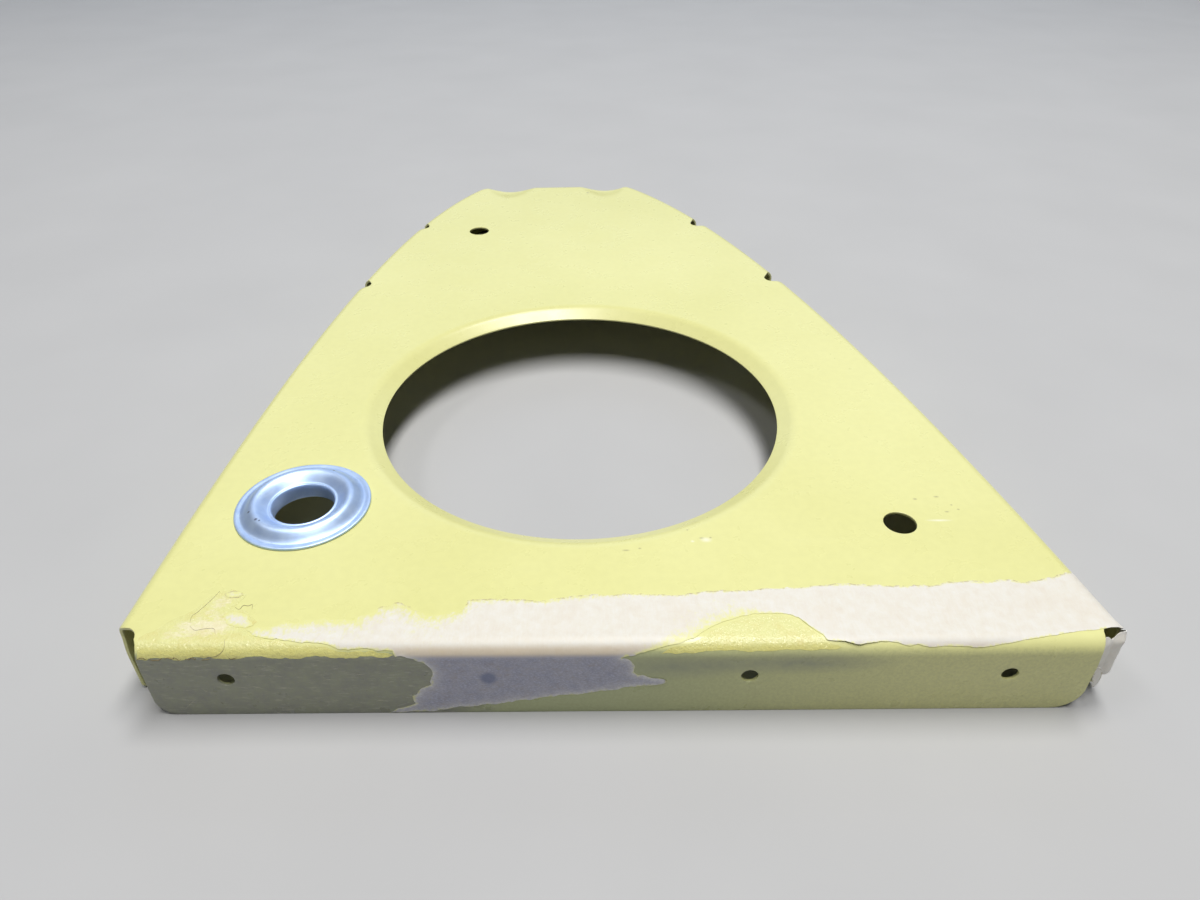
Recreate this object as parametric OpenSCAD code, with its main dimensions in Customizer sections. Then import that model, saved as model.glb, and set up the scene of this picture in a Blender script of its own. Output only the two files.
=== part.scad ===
// Wing leading-edge rib: one pressed sheet with flanges all round, a flared
// lightening hole, a cable grommet and the torn tape left on its spar end.
// Web on top, flanges down, nose towards +Y.

/* [Sheet] */
// Thickness of the pressed sheet
sheet_t = 0.6; // [0.4:0.05:1.2]
// Height of the flanges from web top to flange edge
flange_h = 16.6; // [10:0.1:25]
// Outside radius of the flange bends
bend_r = 2.7; // [1.5:0.1:4]

/* [Section outline] */
// Chord of the wing section that the side flanges follow
chord = 1620; // [1500:1:1800]
// Section thickness as a share of the chord
thick = 0.12; // [0.09:0.005:0.18]
// Section camber as a share of the chord
camber = 0.02; // [0:0.005:0.04]
// Place of the greatest camber along the chord
camber_at = 0.4; // [0.2:0.05:0.6]
// Tilt of the section on the rib in degrees
incidence = 0.35; // [-2:0.05:2]
// Leading edge point from the middle of the rivet row, across
le_x = -21.2; // [-40:0.1:0]
// Leading edge point from the spar flange face
le_y = 240.8; // [200:0.1:280]
// Spar flange face to nose flange face at mid width
rib_len = 225.2; // [190:0.1:235]
// Slant of the nose flange in degrees
nose_slant = 2; // [-5:0.5:5]
// Rounding of the two nose corners
nose_corner = 3; // [3:0.5:8]

/* [Nose flutes] */
// Middle of each flute across the nose
flute_x = [-34.5, 0.5]; // [-60:0.5:30]
// Width of a flute
flute_w = 18.5; // [10:0.5:25]
// Inward depth of a flute
flute_in = 2.5; // [0:0.1:4]
// Downward dip of the web edge at a flute
flute_dip = 0.7; // [0:0.1:2]

/* [Lightening hole] */
// Centre across
hole_x = -7.2; // [-20:0.1:20]
// Centre from the spar flange face
hole_y = 75.1; // [60:0.1:90]
// Radius at the lip edge
hole_r = 45.9; // [30:0.1:55]
// Radius of the rolled shoulder on the top face
lip_r = 5; // [3:0.5:12]
// Slope of the lip in degrees
lip_slope = 30; // [20:1:60]
// Straight part of the lip below the shoulder
lip_len = 3; // [0:0.1:6]

/* [Small holes] */
// Rivet hole diameter in the spar flange
rivet_d = 2.9; // [2:0.1:4]
// Pitch of the rivet row
rivet_pitch = 44.45; // [25:0.05:60]
// Rivet row below the web top
rivet_drop = 7.35; // [5:0.05:12]
// Tooling hole diameter
tool_d = 6.35; // [4:0.05:8]
// Tooling hole near the spar, across and along
tool_near = [55.4, 31]; // [0:0.1:200]
// Tooling hole near the nose, across and along
tool_far = [-42, 180.6]; // [-60:0.1:200]

/* [Grommet] */
// Grommet centre, across and along
grommet_at = [-62, 37.1]; // [-70:0.1:60]
// Outside diameter of the grommet lip
grommet_d = 26.4; // [20:0.1:32]
// Bore diameter of the grommet
grommet_bore = 12; // [8:0.1:16]
// Sheet gauge of the grommet
grommet_t = 0.5; // [0.3:0.05:1]
// Height of the grommet crown
grommet_h = 2.2; // [1:0.1:4]

/* [Relief cuts] */
// Root radius of the relief notches in the side flanges
notch_r = 2.4; // [1.8:0.1:3]
// Depth of the notches from the flange face, left and right
notch_depth = [3.5, 5]; // [3:0.1:6]
// Angle of the notch flank on the nose side, left and right
notch_far = [42, 45]; // [40:1:75]
// Angle of the notch flank on the spar side, left and right
notch_near = [50, 65]; // [40:1:75]
// Width of the square-cut outer part of the nose-side flank
notch_square = 1.5; // [0.5:0.1:2.5]
// Notch places along the left side
notch_left = [140, 185.3]; // [60:0.5:210]
// Notch places along the right side
notch_right = [144, 188.2]; // [60:0.5:210]
// Left end of the spar flange
spar_left = -80.5; // [-84:0.1:-70]
// Right end of the spar flange
spar_right = 81.1; // [70:0.1:84]
// Radius of the round relief at the two front corners
corner_r = 2.8; // [2:0.1:4]
// Rounding of the lower corners of the spar flange
spar_round = 5; // [2:0.5:8]

/* [Masking tape] */
// Thickness of the paper tape
tape_t = 0.15; // [0.1:0.01:0.3]
// Upper tape edge on the web at mid width
tape_top = 12.3; // [8:0.1:20]
// Rise of the upper tape edge for each mm across
tape_rise = 0.05; // [0:0.005:0.1]
// Left end of the tape
tape_left = -60; // [-75:1:-45]

/* [Hidden] */
$fn = 96;
arc_n = 6;
side_n = 22;
nose_n = 44;
web_lap = 0.3;

// ---- wing section -------------------------------------------------------
function half(u) = 5 * thick * (0.2969 * sqrt(u) - 0.126 * u
    - 0.3516 * u * u + 0.2843 * u * u * u - 0.1015 * u * u * u * u);
function mean(u) = camber / (camber_at * camber_at) * (2 * camber_at * u - u * u);
function lean(u) = atan(2 * camber / (camber_at * camber_at) * (camber_at - u));
// side 1 is the right edge, side -1 the left edge
function section(u, side) = [u - side * half(u) * sin(lean(u)),
                             mean(u) + side * half(u) * cos(lean(u))];
function placed(q) = let (a = chord * q[1], b = -chord * q[0])
    [le_x + cos(incidence) * a - sin(incidence) * b,
     le_y + sin(incidence) * a + cos(incidence) * b];
function solve_u(y, side, u, n) = n == 0 ? u :
    solve_u(y, side, max(0.002, u + (placed(section(u, side))[1] - y) / chord), n - 1);
function edge(y, side) =
    placed(section(solve_u(y, side, (le_y - y) / chord, 12), side));
function nose_y(x) = rib_len + tan(nose_slant) * (x + 17);
function nose_end(side, y, n) = n == 0 ? y :
    nose_end(side, nose_y(edge(y, side)[0]), n - 1);

y_right = nose_end(1, rib_len, 6);
y_left = nose_end(-1, rib_len, 6);
x_right = edge(y_right, 1)[0];
x_left = edge(y_left, -1)[0];
front_r = [edge(0, 1)[0], 0];
front_l = [edge(0, -1)[0], 0];

// ---- outline, counter-clockwise from the left front corner --------------
function bez(a, c, b, t) = a * (1 - t) * (1 - t) + c * 2 * t * (1 - t) + b * t * t;
corner_c = [[x_right, y_right], [x_left, y_left]];
side_end_r = edge(y_right - nose_corner, 1);
side_end_l = edge(y_left - nose_corner, -1);
nose_a = [x_right - nose_corner, nose_y(x_right - nose_corner)];
nose_b = [x_left + nose_corner, nose_y(x_left + nose_corner)];

outline = concat(
    [front_l, front_r],
    [for (k = [1:side_n]) edge((y_right - nose_corner) * (1 - pow(1 - k / side_n, 1.4)), 1)],
    [for (k = [1:4]) bez(side_end_r, corner_c[0], nose_a, k / 5)],
    [for (k = [0:nose_n]) let (x = nose_a[0] + (nose_b[0] - nose_a[0]) * k / nose_n)
        [x, nose_y(x)]],
    [for (k = [1:4]) bez(nose_b, corner_c[1], side_end_l, k / 5)],
    [for (k = [side_n:-1:1]) edge((y_left - nose_corner) * (1 - pow(1 - k / side_n, 1.4)), -1)]);
n_out = len(outline);

function unit(v) = v / norm(v);
function turn(v) = [-v[1], v[0]];
function mitre(i) = let (
    a = unit(outline[i] - outline[(i + n_out - 1) % n_out]),
    b = unit(outline[(i + 1) % n_out] - outline[i]),
    m = turn(a) + turn(b)) m / (1 + a * b);

function wave(x, c) = abs(x - c) < flute_w / 2
    ? 0.5 + 0.5 * cos(360 * (x - c) / flute_w) : 0;
function flute(p) = p[1] < rib_len - 12 ? 0 : wave(p[0], flute_x[0]) + wave(p[0], flute_x[1]);

in_r = bend_r - sheet_t;
// each ring: inward offset, height, share of the flute taken up
rings = concat(
    [[bend_r + web_lap, 0, 0]],
    [for (k = [0:arc_n]) let (a = 90 * k / arc_n)
        [bend_r - bend_r * sin(a), -bend_r + bend_r * cos(a), 1 - 0.3 * k / arc_n]],
    [[0, -flange_h, 0]],
    [[sheet_t, -flange_h, 0]],
    [for (k = [arc_n:-1:0]) let (a = 90 * k / arc_n)
        [bend_r - in_r * sin(a), -bend_r + in_r * cos(a), 1 - 0.3 * k / arc_n]],
    [[bend_r + web_lap, -sheet_t, 0]]);
n_ring = len(rings);

function ring_pt(k, i) = let (
    p = outline[i], m = mitre(i), f = flute(p), r = rings[k],
    web = k == 0 || k == n_ring - 1,
    d = r[0] + (web ? 6.5 * f : f * flute_in),
    z = r[1] - f * flute_dip * r[2])
    [p[0] + m[0] * d, p[1] + m[1] * d, z];

rib_pts = [for (k = [0:n_ring - 1]) for (i = [0:n_out - 1]) ring_pt(k, i)];
rib_faces = concat(
    [[for (i = [n_out - 1:-1:0]) i]],
    [for (k = [0:n_ring - 2]) for (i = [0:n_out - 1])
        let (j = (i + 1) % n_out) [k * n_out + i, k * n_out + j, (k + 1) * n_out + j]],
    [for (k = [0:n_ring - 2]) for (i = [0:n_out - 1])
        let (j = (i + 1) % n_out) [k * n_out + i, (k + 1) * n_out + j, (k + 1) * n_out + i]],
    [[for (i = [0:n_out - 1]) (n_ring - 1) * n_out + i]]);

// ---- placing on the ground, centred ------------------------------------
mid_x = (edge(5, 1)[0] + edge(6, -1)[0]) / 2;
mid_y = nose_y(x_right) / 2;
module grounded() translate([-mid_x, -mid_y, flange_h]) children();

// ---- lightening hole lip ------------------------------------------------
shoulder = hole_r + lip_len * cos(lip_slope) + lip_r * sin(lip_slope);
under_r = lip_r - sheet_t;
lip_profile = concat(
    [[shoulder + 0.5, 0]],
    [for (a = [0:lip_slope / 9:lip_slope])
        [shoulder - lip_r * sin(a), -lip_r + lip_r * cos(a)]],
    [[hole_r, -lip_r + lip_r * cos(lip_slope) - lip_len * sin(lip_slope)]],
    [[hole_r + sheet_t * sin(lip_slope),
      -lip_r + under_r * cos(lip_slope) - lip_len * sin(lip_slope)]],
    [for (a = [lip_slope:-lip_slope / 9:0])
        [shoulder - under_r * sin(a), -lip_r + under_r * cos(a)]],
    [[shoulder + 0.5, -sheet_t]]);

// ---- cuts ---------------------------------------------------------------
// relief at a front corner, mirrored by side
module corner_cut(end_x, y_end, side) {
    cx = end_x + side * corner_r;
    translate([cx, y_end - corner_r, -flange_h - 1])
        cylinder(r = corner_r, h = flange_h + 2);
    translate([side > 0 ? end_x : end_x - 14, -2, -flange_h - 1])
        cube([14, y_end - corner_r + 2, flange_h + 2]);
    translate([side > 0 ? cx : cx - 12, -1, -flange_h - 1])
        cube([12, y_end + 1, flange_h + 2]);
    translate([side > 0 ? cx + 1.6 : cx - 13.6, -1, -flange_h - 1])
        cube([12, y_end + 1.5, flange_h + 2]);
}

// rounds the lower corner of the spar flange
module flange_corner(end_x, side) {
    difference() {
        translate([side > 0 ? end_x - spar_round : end_x - 1, -1, -flange_h - 1])
            cube([spar_round + 1, 3, spar_round + 1]);
        translate([end_x - side * spar_round, -2, -flange_h + spar_round])
            rotate([-90, 0, 0]) cylinder(r = spar_round, h = 5);
    }
}

// notch through a side flange: round root with two straight flanks that run
// out of it and open outwards
module notch(y, side) {
    p = edge(y, side);
    q = edge(y + 1, side);
    a = atan2(q[1] - p[1], q[0] - p[0]) - 90;
    i = side > 0 ? 1 : 0;
    c = notch_r - notch_depth[i];
    r = 0.95 * notch_r;
    far = [c - r * cos(notch_far[i]), r * sin(notch_far[i])];
    near = [c - r * cos(notch_near[i]), -r * sin(notch_near[i])];
    far_v = far[1] - (notch_square + far[0]) / tan(notch_far[i]);
    translate([p[0], p[1], -flange_h - 1]) rotate([0, 0, a]) {
        translate([side * c, 0, 0]) cylinder(r = notch_r, h = flange_h + 2);
        linear_extrude(flange_h + 2)
            polygon([[side * far[0], far[1]],
                     [-side * notch_square, far_v],
                     [side, far_v],
                     [side, near[1] - (1 - near[0]) / tan(notch_near[i])],
                     [side * near[0], near[1]]]);
    }
}

module rib_sheet() {
    color([0.90, 0.88, 0.62]) grounded() {
        difference() {
            polyhedron(points = rib_pts, faces = rib_faces, convexity = 8);
            for (k = [-1.5:1:1.5]) translate([k * rivet_pitch, -1, -rivet_drop])
                rotate([-90, 0, 0]) cylinder(d = rivet_d, h = 3, $fn = 48);
            for (p = [tool_near, tool_far]) translate([p[0], p[1], -2])
                cylinder(d = tool_d, h = 3, $fn = 64);
            translate([grommet_at[0], grommet_at[1], -2])
                cylinder(d = grommet_bore + 2 * grommet_t, h = 3);
            translate([hole_x, hole_y, -2]) cylinder(r = shoulder + 0.5, h = 3);
            for (y = notch_left) notch(y, -1);
            for (y = notch_right) notch(y, 1);
            corner_cut(spar_left, 5.4, -1);
            corner_cut(spar_right, 4.6, 1);
            flange_corner(spar_left, -1);
            flange_corner(spar_right, 1);
        }
        translate([hole_x, hole_y, 0]) rotate_extrude() polygon(lip_profile);
    }
}

// ---- grommet ------------------------------------------------------------
g_in = grommet_bore / 2;
g_out = grommet_d / 2;
g_mid = 9.6;
// top face of the crown, from the lip edge to the bore
crown = concat(
    [[g_out, 0], [g_out, grommet_t - 0.1], [g_out - 0.1, grommet_t]],
    [[g_out - 1.1, grommet_t]],
    [for (t = [0:10:90]) [g_out - 1.3 - (g_out - 1.3 - g_mid) * t / 90,
        grommet_t + (grommet_h - grommet_t) * pow(sin(t), 1.5)]],
    [for (t = [10:10:90]) [g_mid - (g_mid - g_in - 0.35) * t / 90,
        0.55 + (grommet_h - 0.55) * cos(t)]],
    [[g_in + 0.1, 0.25], [g_in, -0.1]]);
// barrel and rolled tail, then the inside of the shell
tail = [[g_in, -2.2], [g_in + 0.3, -2.7], [g_in + 0.9, -3], [g_in + 1.7, -2.9],
        [g_in + 2.5, -2.2], [g_in + 2.9, -1.3], [g_in + 3.1, -sheet_t],
        [g_in + 2.6, -sheet_t], [g_in + 2.3, -1.3], [g_in + 1.9, -1.9],
        [g_in + 1.4, -2.4], [g_in + 0.9, -2.4], [g_in + grommet_t, -2],
        [g_in + grommet_t, 0]];

module grommet() {
    color([0.75, 0.77, 0.80]) grounded()
        translate([grommet_at[0], grommet_at[1], 0])
            rotate_extrude() polygon(concat(crown, tail));
}

// ---- masking tape -------------------------------------------------------
// lower torn edge of the strip: across, then distance along the sheet from
// the start of the front bend, negative on the web
torn = [[tape_left, 0.2], [-55, 0.8], [-47, 1.7], [-39, 2.6], [-31, 3.4], [-20, 3.6],
        [-8, 3.6], [0, 3.4], [4, 2.9], [7, 2.1], [9.5, 1.3], [11.5, 0.4], [13.5, -0.4], [17, -2.2],
        [24, -4.1], [27, -4.8], [30, -4.1], [32, -1.5], [32.7, -0.7], [33.4, 0], [34.2, 0.7], [35, 1.3], [40, 1.8],
        [44, 1.6], [49, 1.8], [54, 2], [59, 2.3], [65, 1.5], [72, 0.5], [77, -0.2]];
// torn edge of the patch on the spar flange, across and along the sheet
patch = [[3.2, -31, 2], [4.2, -31.5, 0.5], [5.6, -32.2, 2.4], [7.2, -33, 2.8],
         [8.7, -33.7, 3], [10, -34.2, 8], [11.3, -34.8, 0.5], [12.6, -35.4, -5],
         [14, -36, -12], [15.3, -37.2, -20.5], [16.7, -38.6, -29.5], [17.8, -39.7, -36]];
bend_len = bend_r * PI / 2;
// adhesive under the tape, on the flat sheet and round a bend
glue_flat = 0.02;
glue_bent = 0.09;

// point on the outer face of web, bend and spar flange, lifted by d
function skin(x, s, d) = s < 0 ? [x, bend_r - s, d] :
    s < bend_len ? let (a = s / bend_r * 180 / PI)
        [x, bend_r - (bend_r + d) * sin(a), -bend_r + (bend_r + d) * cos(a)] :
    [x, -d, -bend_r - (s - bend_len)];

// sheet closed over a grid of rows, inside face first
module film(under, over) {
    nr = len(under);
    nc = len(under[0]);
    n = nr * nc;
    pts = concat([for (r = under) for (p = r) p], [for (r = over) for (p = r) p]);
    polyhedron(points = pts, convexity = 6, faces = concat(
        [for (i = [0:nr - 2]) for (j = [0:nc - 2]) for (h = [0, 1])
            let (a = i * nc + j, b = a + 1, c = a + nc + 1, d = a + nc)
                h == 0 ? [n + a, n + c, n + b] : [n + a, n + d, n + c]],
        [for (i = [0:nr - 2]) for (j = [0:nc - 2]) for (h = [0, 1])
            let (a = i * nc + j, b = a + 1, c = a + nc + 1, d = a + nc)
                h == 0 ? [a, b, c] : [a, c, d]],
        [for (j = [0:nc - 2]) for (h = [0, 1]) let (a = j, b = j + 1)
            h == 0 ? [a, n + b, b] : [a, n + a, n + b]],
        [for (j = [0:nc - 2]) for (h = [0, 1]) let (a = (nr - 1) * nc + j, b = a + 1)
            h == 0 ? [a, b, n + b] : [a, n + b, n + a]],
        [for (i = [0:nr - 2]) for (h = [0, 1]) let (a = i * nc, b = a + nc)
            h == 0 ? [a, b, n + b] : [a, n + b, n + a]],
        [for (i = [0:nr - 2]) for (h = [0, 1]) let (a = i * nc + nc - 1, b = a + nc)
            h == 0 ? [a, n + b, b] : [a, n + a, n + b]]));
}

strip_rows = 20;
function strip_pt(c, v, d) = let (
    x = torn[c][0], s0 = bend_r - (tape_top + tape_rise * x), s1 = torn[c][1])
    skin(x, s0 + (s1 - s0) * v, d);
// right end of the strip, at the start of the side bend and round it
function side_pt(v, a, d) = let (
    y = 16.3 - 10.5 * v, p = edge(y, 1), q = edge(y + 1, 1),
    m = turn(unit(q - p)), w = bend_r - (bend_r + d) * sin(a))
    [p[0] + m[0] * w, p[1] + m[1] * w, -bend_r + (bend_r + d) * cos(a)];
wrap = [0, 18, 36, 54, 72, 90];
function strip_grid(flat, bent) = [for (c = [0:len(torn) - 1 + len(wrap)])
    c < len(torn)
        ? [for (r = [0:strip_rows]) strip_pt(c, r / strip_rows,
            bend_r - (tape_top + tape_rise * torn[c][0]) + (torn[c][1]
            - bend_r + (tape_top + tape_rise * torn[c][0])) * r / strip_rows < -0.9 ? flat : bent)]
        : [for (r = [0:strip_rows]) side_pt(r / strip_rows, wrap[c - len(torn)],
            c == len(torn) ? flat : bent)]];
patch_cols = 10;
function patch_grid(d) = [for (c = [0:patch_cols])
    [for (r = patch) skin(r[1] + (r[2] - r[1]) * c / patch_cols, r[0], d)]];

module masking_tape() {
    color([0.93, 0.88, 0.80]) grounded() {
        film(strip_grid(glue_flat, glue_bent), strip_grid(tape_t + glue_flat, tape_t + glue_bent));
        film(patch_grid(glue_bent), patch_grid(tape_t + glue_bent));
    }
}

// crumpled end of the tape: along the right side flange, round its front edge
// and across the corner gap; each entry: out from the flange, along, low edge,
// top edge
tab_path = [[0, 13, 6, 2.7], [0, 11, 7.8, 2.7], [0, 9, 9.2, 2.7], [0, 7.4, 9.8, 2.7],
            [0.1, 5.6, 10.2, 2.7], [0.3, 4.3, 10.4, 2.5], [0.2, 3.5, 10.4, 2.2],
            [-0.3, 2.9, 10.3, 1.9], [-1.2, 2.6, 10.5, 1.9], [-2.3, 2.4, 10.3, 2.3],
            [-3.2, 2.1, 12.2, 1.8], [-3.8, 1.9, 12, 1.4]];
tab_n = 5;
function tab_xy(k) = [edge(max(tab_path[k][1], 5), 1)[0] + tab_path[k][0], tab_path[k][1]];
function tab_pt(k, r, d) = let (
    p = tab_xy(k), a = tab_xy(max(k - 1, 0)), b = tab_xy(min(k + 1, len(tab_path) - 1)),
    m = turn(unit(b - a)), top = tab_path[k][3])
    [p[0] + m[0] * d, p[1] + m[1] * d, -top - (tab_path[k][2] - top) * r / tab_n];
function tab_grid(d) = [for (k = [0:len(tab_path) - 1]) [for (r = [0:tab_n]) tab_pt(k, r, d)]];

module tape_tab() {
    color([0.93, 0.89, 0.83]) grounded()
        film(tab_grid(tape_t * 2 + glue_flat), tab_grid(glue_flat));
}

rib_sheet();
grommet();
masking_tape();
tape_tab();
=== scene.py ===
import math
import random

import bmesh
import bpy
import numpy as np
from mathutils import Matrix, Vector, noise
from mathutils.geometry import delaunay_2d_cdt


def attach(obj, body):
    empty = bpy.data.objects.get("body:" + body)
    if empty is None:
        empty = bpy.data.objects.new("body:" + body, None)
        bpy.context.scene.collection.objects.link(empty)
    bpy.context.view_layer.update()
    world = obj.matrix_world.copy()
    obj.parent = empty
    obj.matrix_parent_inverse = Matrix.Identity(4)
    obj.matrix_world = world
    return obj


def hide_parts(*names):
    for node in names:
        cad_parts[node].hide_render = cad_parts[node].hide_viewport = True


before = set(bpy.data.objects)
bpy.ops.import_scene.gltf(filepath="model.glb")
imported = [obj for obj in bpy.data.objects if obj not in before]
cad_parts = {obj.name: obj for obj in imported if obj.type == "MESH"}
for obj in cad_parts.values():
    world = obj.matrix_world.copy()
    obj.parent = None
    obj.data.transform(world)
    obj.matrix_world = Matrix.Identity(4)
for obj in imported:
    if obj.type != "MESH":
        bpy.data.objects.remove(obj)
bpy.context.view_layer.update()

# ---------------------------------------------------------------------------
# dimensions in millimetres, datum: middle of the rivet row, spar flange face,
# top of the web; put() takes them to the row frame in metres
# ---------------------------------------------------------------------------
T = 0.6
H = 16.6
RO = 2.7
CHORD, THICK, CAMBER, CAMBER_AT = 1620.0, 0.12, 0.02, 0.4
INC = math.radians(0.35)
LE_X, LE_Y = -21.2, 240.8
RIB_LEN, NOSE_SLANT, NOSE_CORNER = 225.2, math.radians(2.0), 3.0
FLUTE_X, FLUTE_W, FLUTE_IN, FLUTE_DIP = (-34.5, 0.5), 18.5, 2.5, 0.7
HOLE_X, HOLE_Y, HOLE_R = -7.2, 75.1, 45.9
LIP_R, LIP_SLOPE, LIP_LEN = 5.0, math.radians(30.0), 3.0
SHOULDER = HOLE_R + LIP_LEN * math.cos(LIP_SLOPE) + LIP_R * math.sin(LIP_SLOPE)
RIVET_R, RIVET_PITCH, RIVET_DROP = 1.45, 44.45, 7.35
TOOL_R, TOOL_NEAR, TOOL_FAR = 3.175, (55.4, 31.0), (-42.0, 180.6)
GROM, GROM_R, GROM_BORE = (-62.0, 37.1), 13.2, 6.0
NOTCH_R, NOTCH_L, NOTCH_R_AT = 2.4, (140.0, 185.3), (144.0, 188.2)
NOTCH_DEEP, NOTCH_FAR, NOTCH_NEAR = {-1: 3.5, 1: 5.0}, {-1: 42.0, 1: 45.0}, {-1: 50.0, 1: 65.0}
NOTCH_SQUARE = 1.5
SPAR_L, SPAR_R = -80.5, 81.1
MX, MY = 0.193815, 113.058
LB = RO * math.pi / 2
S_END = LB + H - RO


def put(p):
    return ((p[0] - MX) * 1e-3, (p[1] - MY) * 1e-3, (p[2] + H) * 1e-3)


def sm(t):
    t = min(1.0, max(0.0, t))
    return t * t * (3 - 2 * t)


# ---------------------------------------------------------------------------
# wing section outline
# ---------------------------------------------------------------------------
def half(u):
    return 5 * THICK * (0.2969 * math.sqrt(u) - 0.126 * u - 0.3516 * u * u
                        + 0.2843 * u ** 3 - 0.1015 * u ** 4)


def section(u, side):
    lean = math.atan(2 * CAMBER / CAMBER_AT ** 2 * (CAMBER_AT - u))
    mean = CAMBER / CAMBER_AT ** 2 * (2 * CAMBER_AT * u - u * u)
    return u - side * half(u) * math.sin(lean), mean + side * half(u) * math.cos(lean)


def placed(q):
    a, b = CHORD * q[1], -CHORD * q[0]
    return (LE_X + math.cos(INC) * a - math.sin(INC) * b,
            LE_Y + math.sin(INC) * a + math.cos(INC) * b)


_edges = {}


def edge(y, side):
    key = (round(y, 5), side)
    if key not in _edges:
        u = (LE_Y - y) / CHORD
        for _ in range(12):
            u = max(0.002, u + (placed(section(u, side))[1] - y) / CHORD)
        _edges[key] = placed(section(u, side))
    return _edges[key]


def side_at(y, side):
    """Outline point, tangent towards the nose and inward normal."""
    p, a, b = edge(y, side), edge(y - 0.5, side), edge(y + 0.5, side)
    tx, ty = b[0] - a[0], b[1] - a[1]
    n = math.hypot(tx, ty)
    tx, ty = tx / n, ty / n
    return p, (tx, ty), ((-ty, tx) if side > 0 else (ty, -tx))


def nose_y(x):
    return RIB_LEN + math.tan(NOSE_SLANT) * (x + 17)


def wave(x, c):
    return max(0.0, 1 - ((x - c) * 2 / FLUTE_W) ** 2) ** 1.5


def flute(x):
    return wave(x, FLUTE_X[0]) + wave(x, FLUTE_X[1])


y_right = y_left = RIB_LEN
for _ in range(6):
    y_right, y_left = nose_y(edge(y_right, 1)[0]), nose_y(edge(y_left, -1)[0])
C_R, C_L = edge(y_right, 1), edge(y_left, -1)


def prof(s):
    """Inward offset, height and bend angle at distance s down the skin."""
    if s <= LB:
        a = s / RO
        return RO - RO * math.sin(a), -RO + RO * math.cos(a), a
    return 0.0, -RO - (s - LB), math.pi / 2


def inset(s, rc):
    t = s - (S_END - rc)
    return rc - math.sqrt(max(0.0, rc * rc - t * t)) if t > 0 else 0.0


def sag(x, y):
    """Slight unevenness of the hand-formed sheet, always downwards."""
    n = noise.noise(Vector((x * 0.021 + 3.1, y * 0.019 - 1.7, 0.4)))
    m = noise.noise(Vector((x * 0.055 + 8.2, y * 0.05 + 2.3, 1.9)))
    return -0.05 - 0.04 * n - 0.016 * m


class Skin:
    """Collects faces with a reference normal for each vertex."""

    def __init__(self):
        self.v, self.n, self.f = [], [], []

    def grid(self, pts, nrm):
        base, rows, cols = len(self.v), len(pts), len(pts[0])
        for r, q in zip(pts, nrm):
            self.v += r
            self.n += q
        for j in range(rows - 1):
            for i in range(cols - 1):
                a = base + j * cols + i
                self.f.append((a, a + 1, a + cols + 1, a + cols))

    def tris(self, pts, nrm, faces):
        base = len(self.v)
        self.v += pts
        self.n += nrm
        self.f += [tuple(base + k for k in t) for t in faces]

    def mesh(self, name, scale_put=True, weld=2e-6):
        v = np.array([put(p) for p in self.v]) if scale_put else np.array(self.v)
        n = np.array(self.n)
        faces = []
        for f in self.f:
            a, b, c = v[f[0]], v[f[1]], v[f[2]]
            w = np.cross(b - a, c - a)
            if len(f) == 4:
                w = np.cross(v[f[2]] - v[f[0]], v[f[3]] - v[f[1]])
            ref = n[list(f)].sum(0)
            faces.append(f if float(w @ ref) >= 0 else tuple(reversed(f)))
        me = bpy.data.meshes.new(name)
        me.from_pydata([tuple(p) for p in v], [], faces)
        bm = bmesh.new()
        bm.from_mesh(me)
        bmesh.ops.remove_doubles(bm, verts=bm.verts, dist=weld)
        bmesh.ops.dissolve_degenerate(bm, dist=1e-7, edges=bm.edges)
        loose = [q for q in bm.verts if not q.link_faces]
        bmesh.ops.delete(bm, geom=loose, context="VERTS")
        bm.to_mesh(me)
        bm.free()
        return me


def inside(poly, pts):
    """Even-odd test of points against a closed polygon."""
    poly = np.asarray(poly, float)
    x, y = pts[:, 0], pts[:, 1]
    res = np.zeros(len(pts), bool)
    q = np.roll(poly, 1, axis=0)
    for (x1, y1), (x2, y2) in zip(poly, q):
        if y1 == y2:
            continue
        c = ((y1 > y) != (y2 > y)) & (x < (x2 - x1) * (y - y1) / (y2 - y1) + x1)
        res ^= c
    return res


def gap_to(poly, pts):
    """Distance of points from a closed polygon's line."""
    poly = np.asarray(poly, float)
    best = np.full(len(pts), 1e9)
    q = np.roll(poly, -1, axis=0)
    for a, b in zip(poly, q):
        d = b - a
        L = float(d @ d)
        t = np.clip(((pts - a) @ d) / L, 0, 1) if L > 0 else np.zeros(len(pts))
        best = np.minimum(best, np.hypot(*(pts - (a + t[:, None] * d)).T))
    return best


def fill(outer, holes, extra, keep=0.35):
    """Triangulates a region with holes; extra points well inside it are used too."""
    outer = [tuple(p[:2]) for p in outer]
    loops = [outer] + [[tuple(p[:2]) for p in h] for h in holes]
    pts = [p for lp in loops for p in lp]
    ed, k = [], 0
    for lp in loops:
        n = len(lp)
        ed += [(k + i, k + (i + 1) % n) for i in range(n)]
        k += n
    ex = np.array(extra, float).reshape(-1, 2)
    if len(ex):
        ok = inside(outer, ex) & (gap_to(outer, ex) > keep)
        for h in loops[1:]:
            ok &= ~inside(h, ex) & (gap_to(h, ex) > keep)
        pts += [tuple(p) for p in ex[ok]]
    vs, _, fs, _, _, _ = delaunay_2d_cdt([Vector(p) for p in pts], ed, [], 0, 1e-7)
    v = np.array([tuple(p) for p in vs])
    tri = [tuple(f) for f in fs if len(f) == 3]
    cen = np.array([v[list(f)].mean(0) for f in tri])
    e1, e2 = (np.array([v[f[i]] - v[f[0]] for f in tri]) for i in (1, 2))
    ok = inside(outer, cen) & (np.abs(e1[:, 0] * e2[:, 1] - e1[:, 1] * e2[:, 0]) > 2e-5)
    for h in loops[1:]:
        ok &= ~inside(h, cen)
    return v, [t for t, k in zip(tri, ok) if k]


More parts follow.
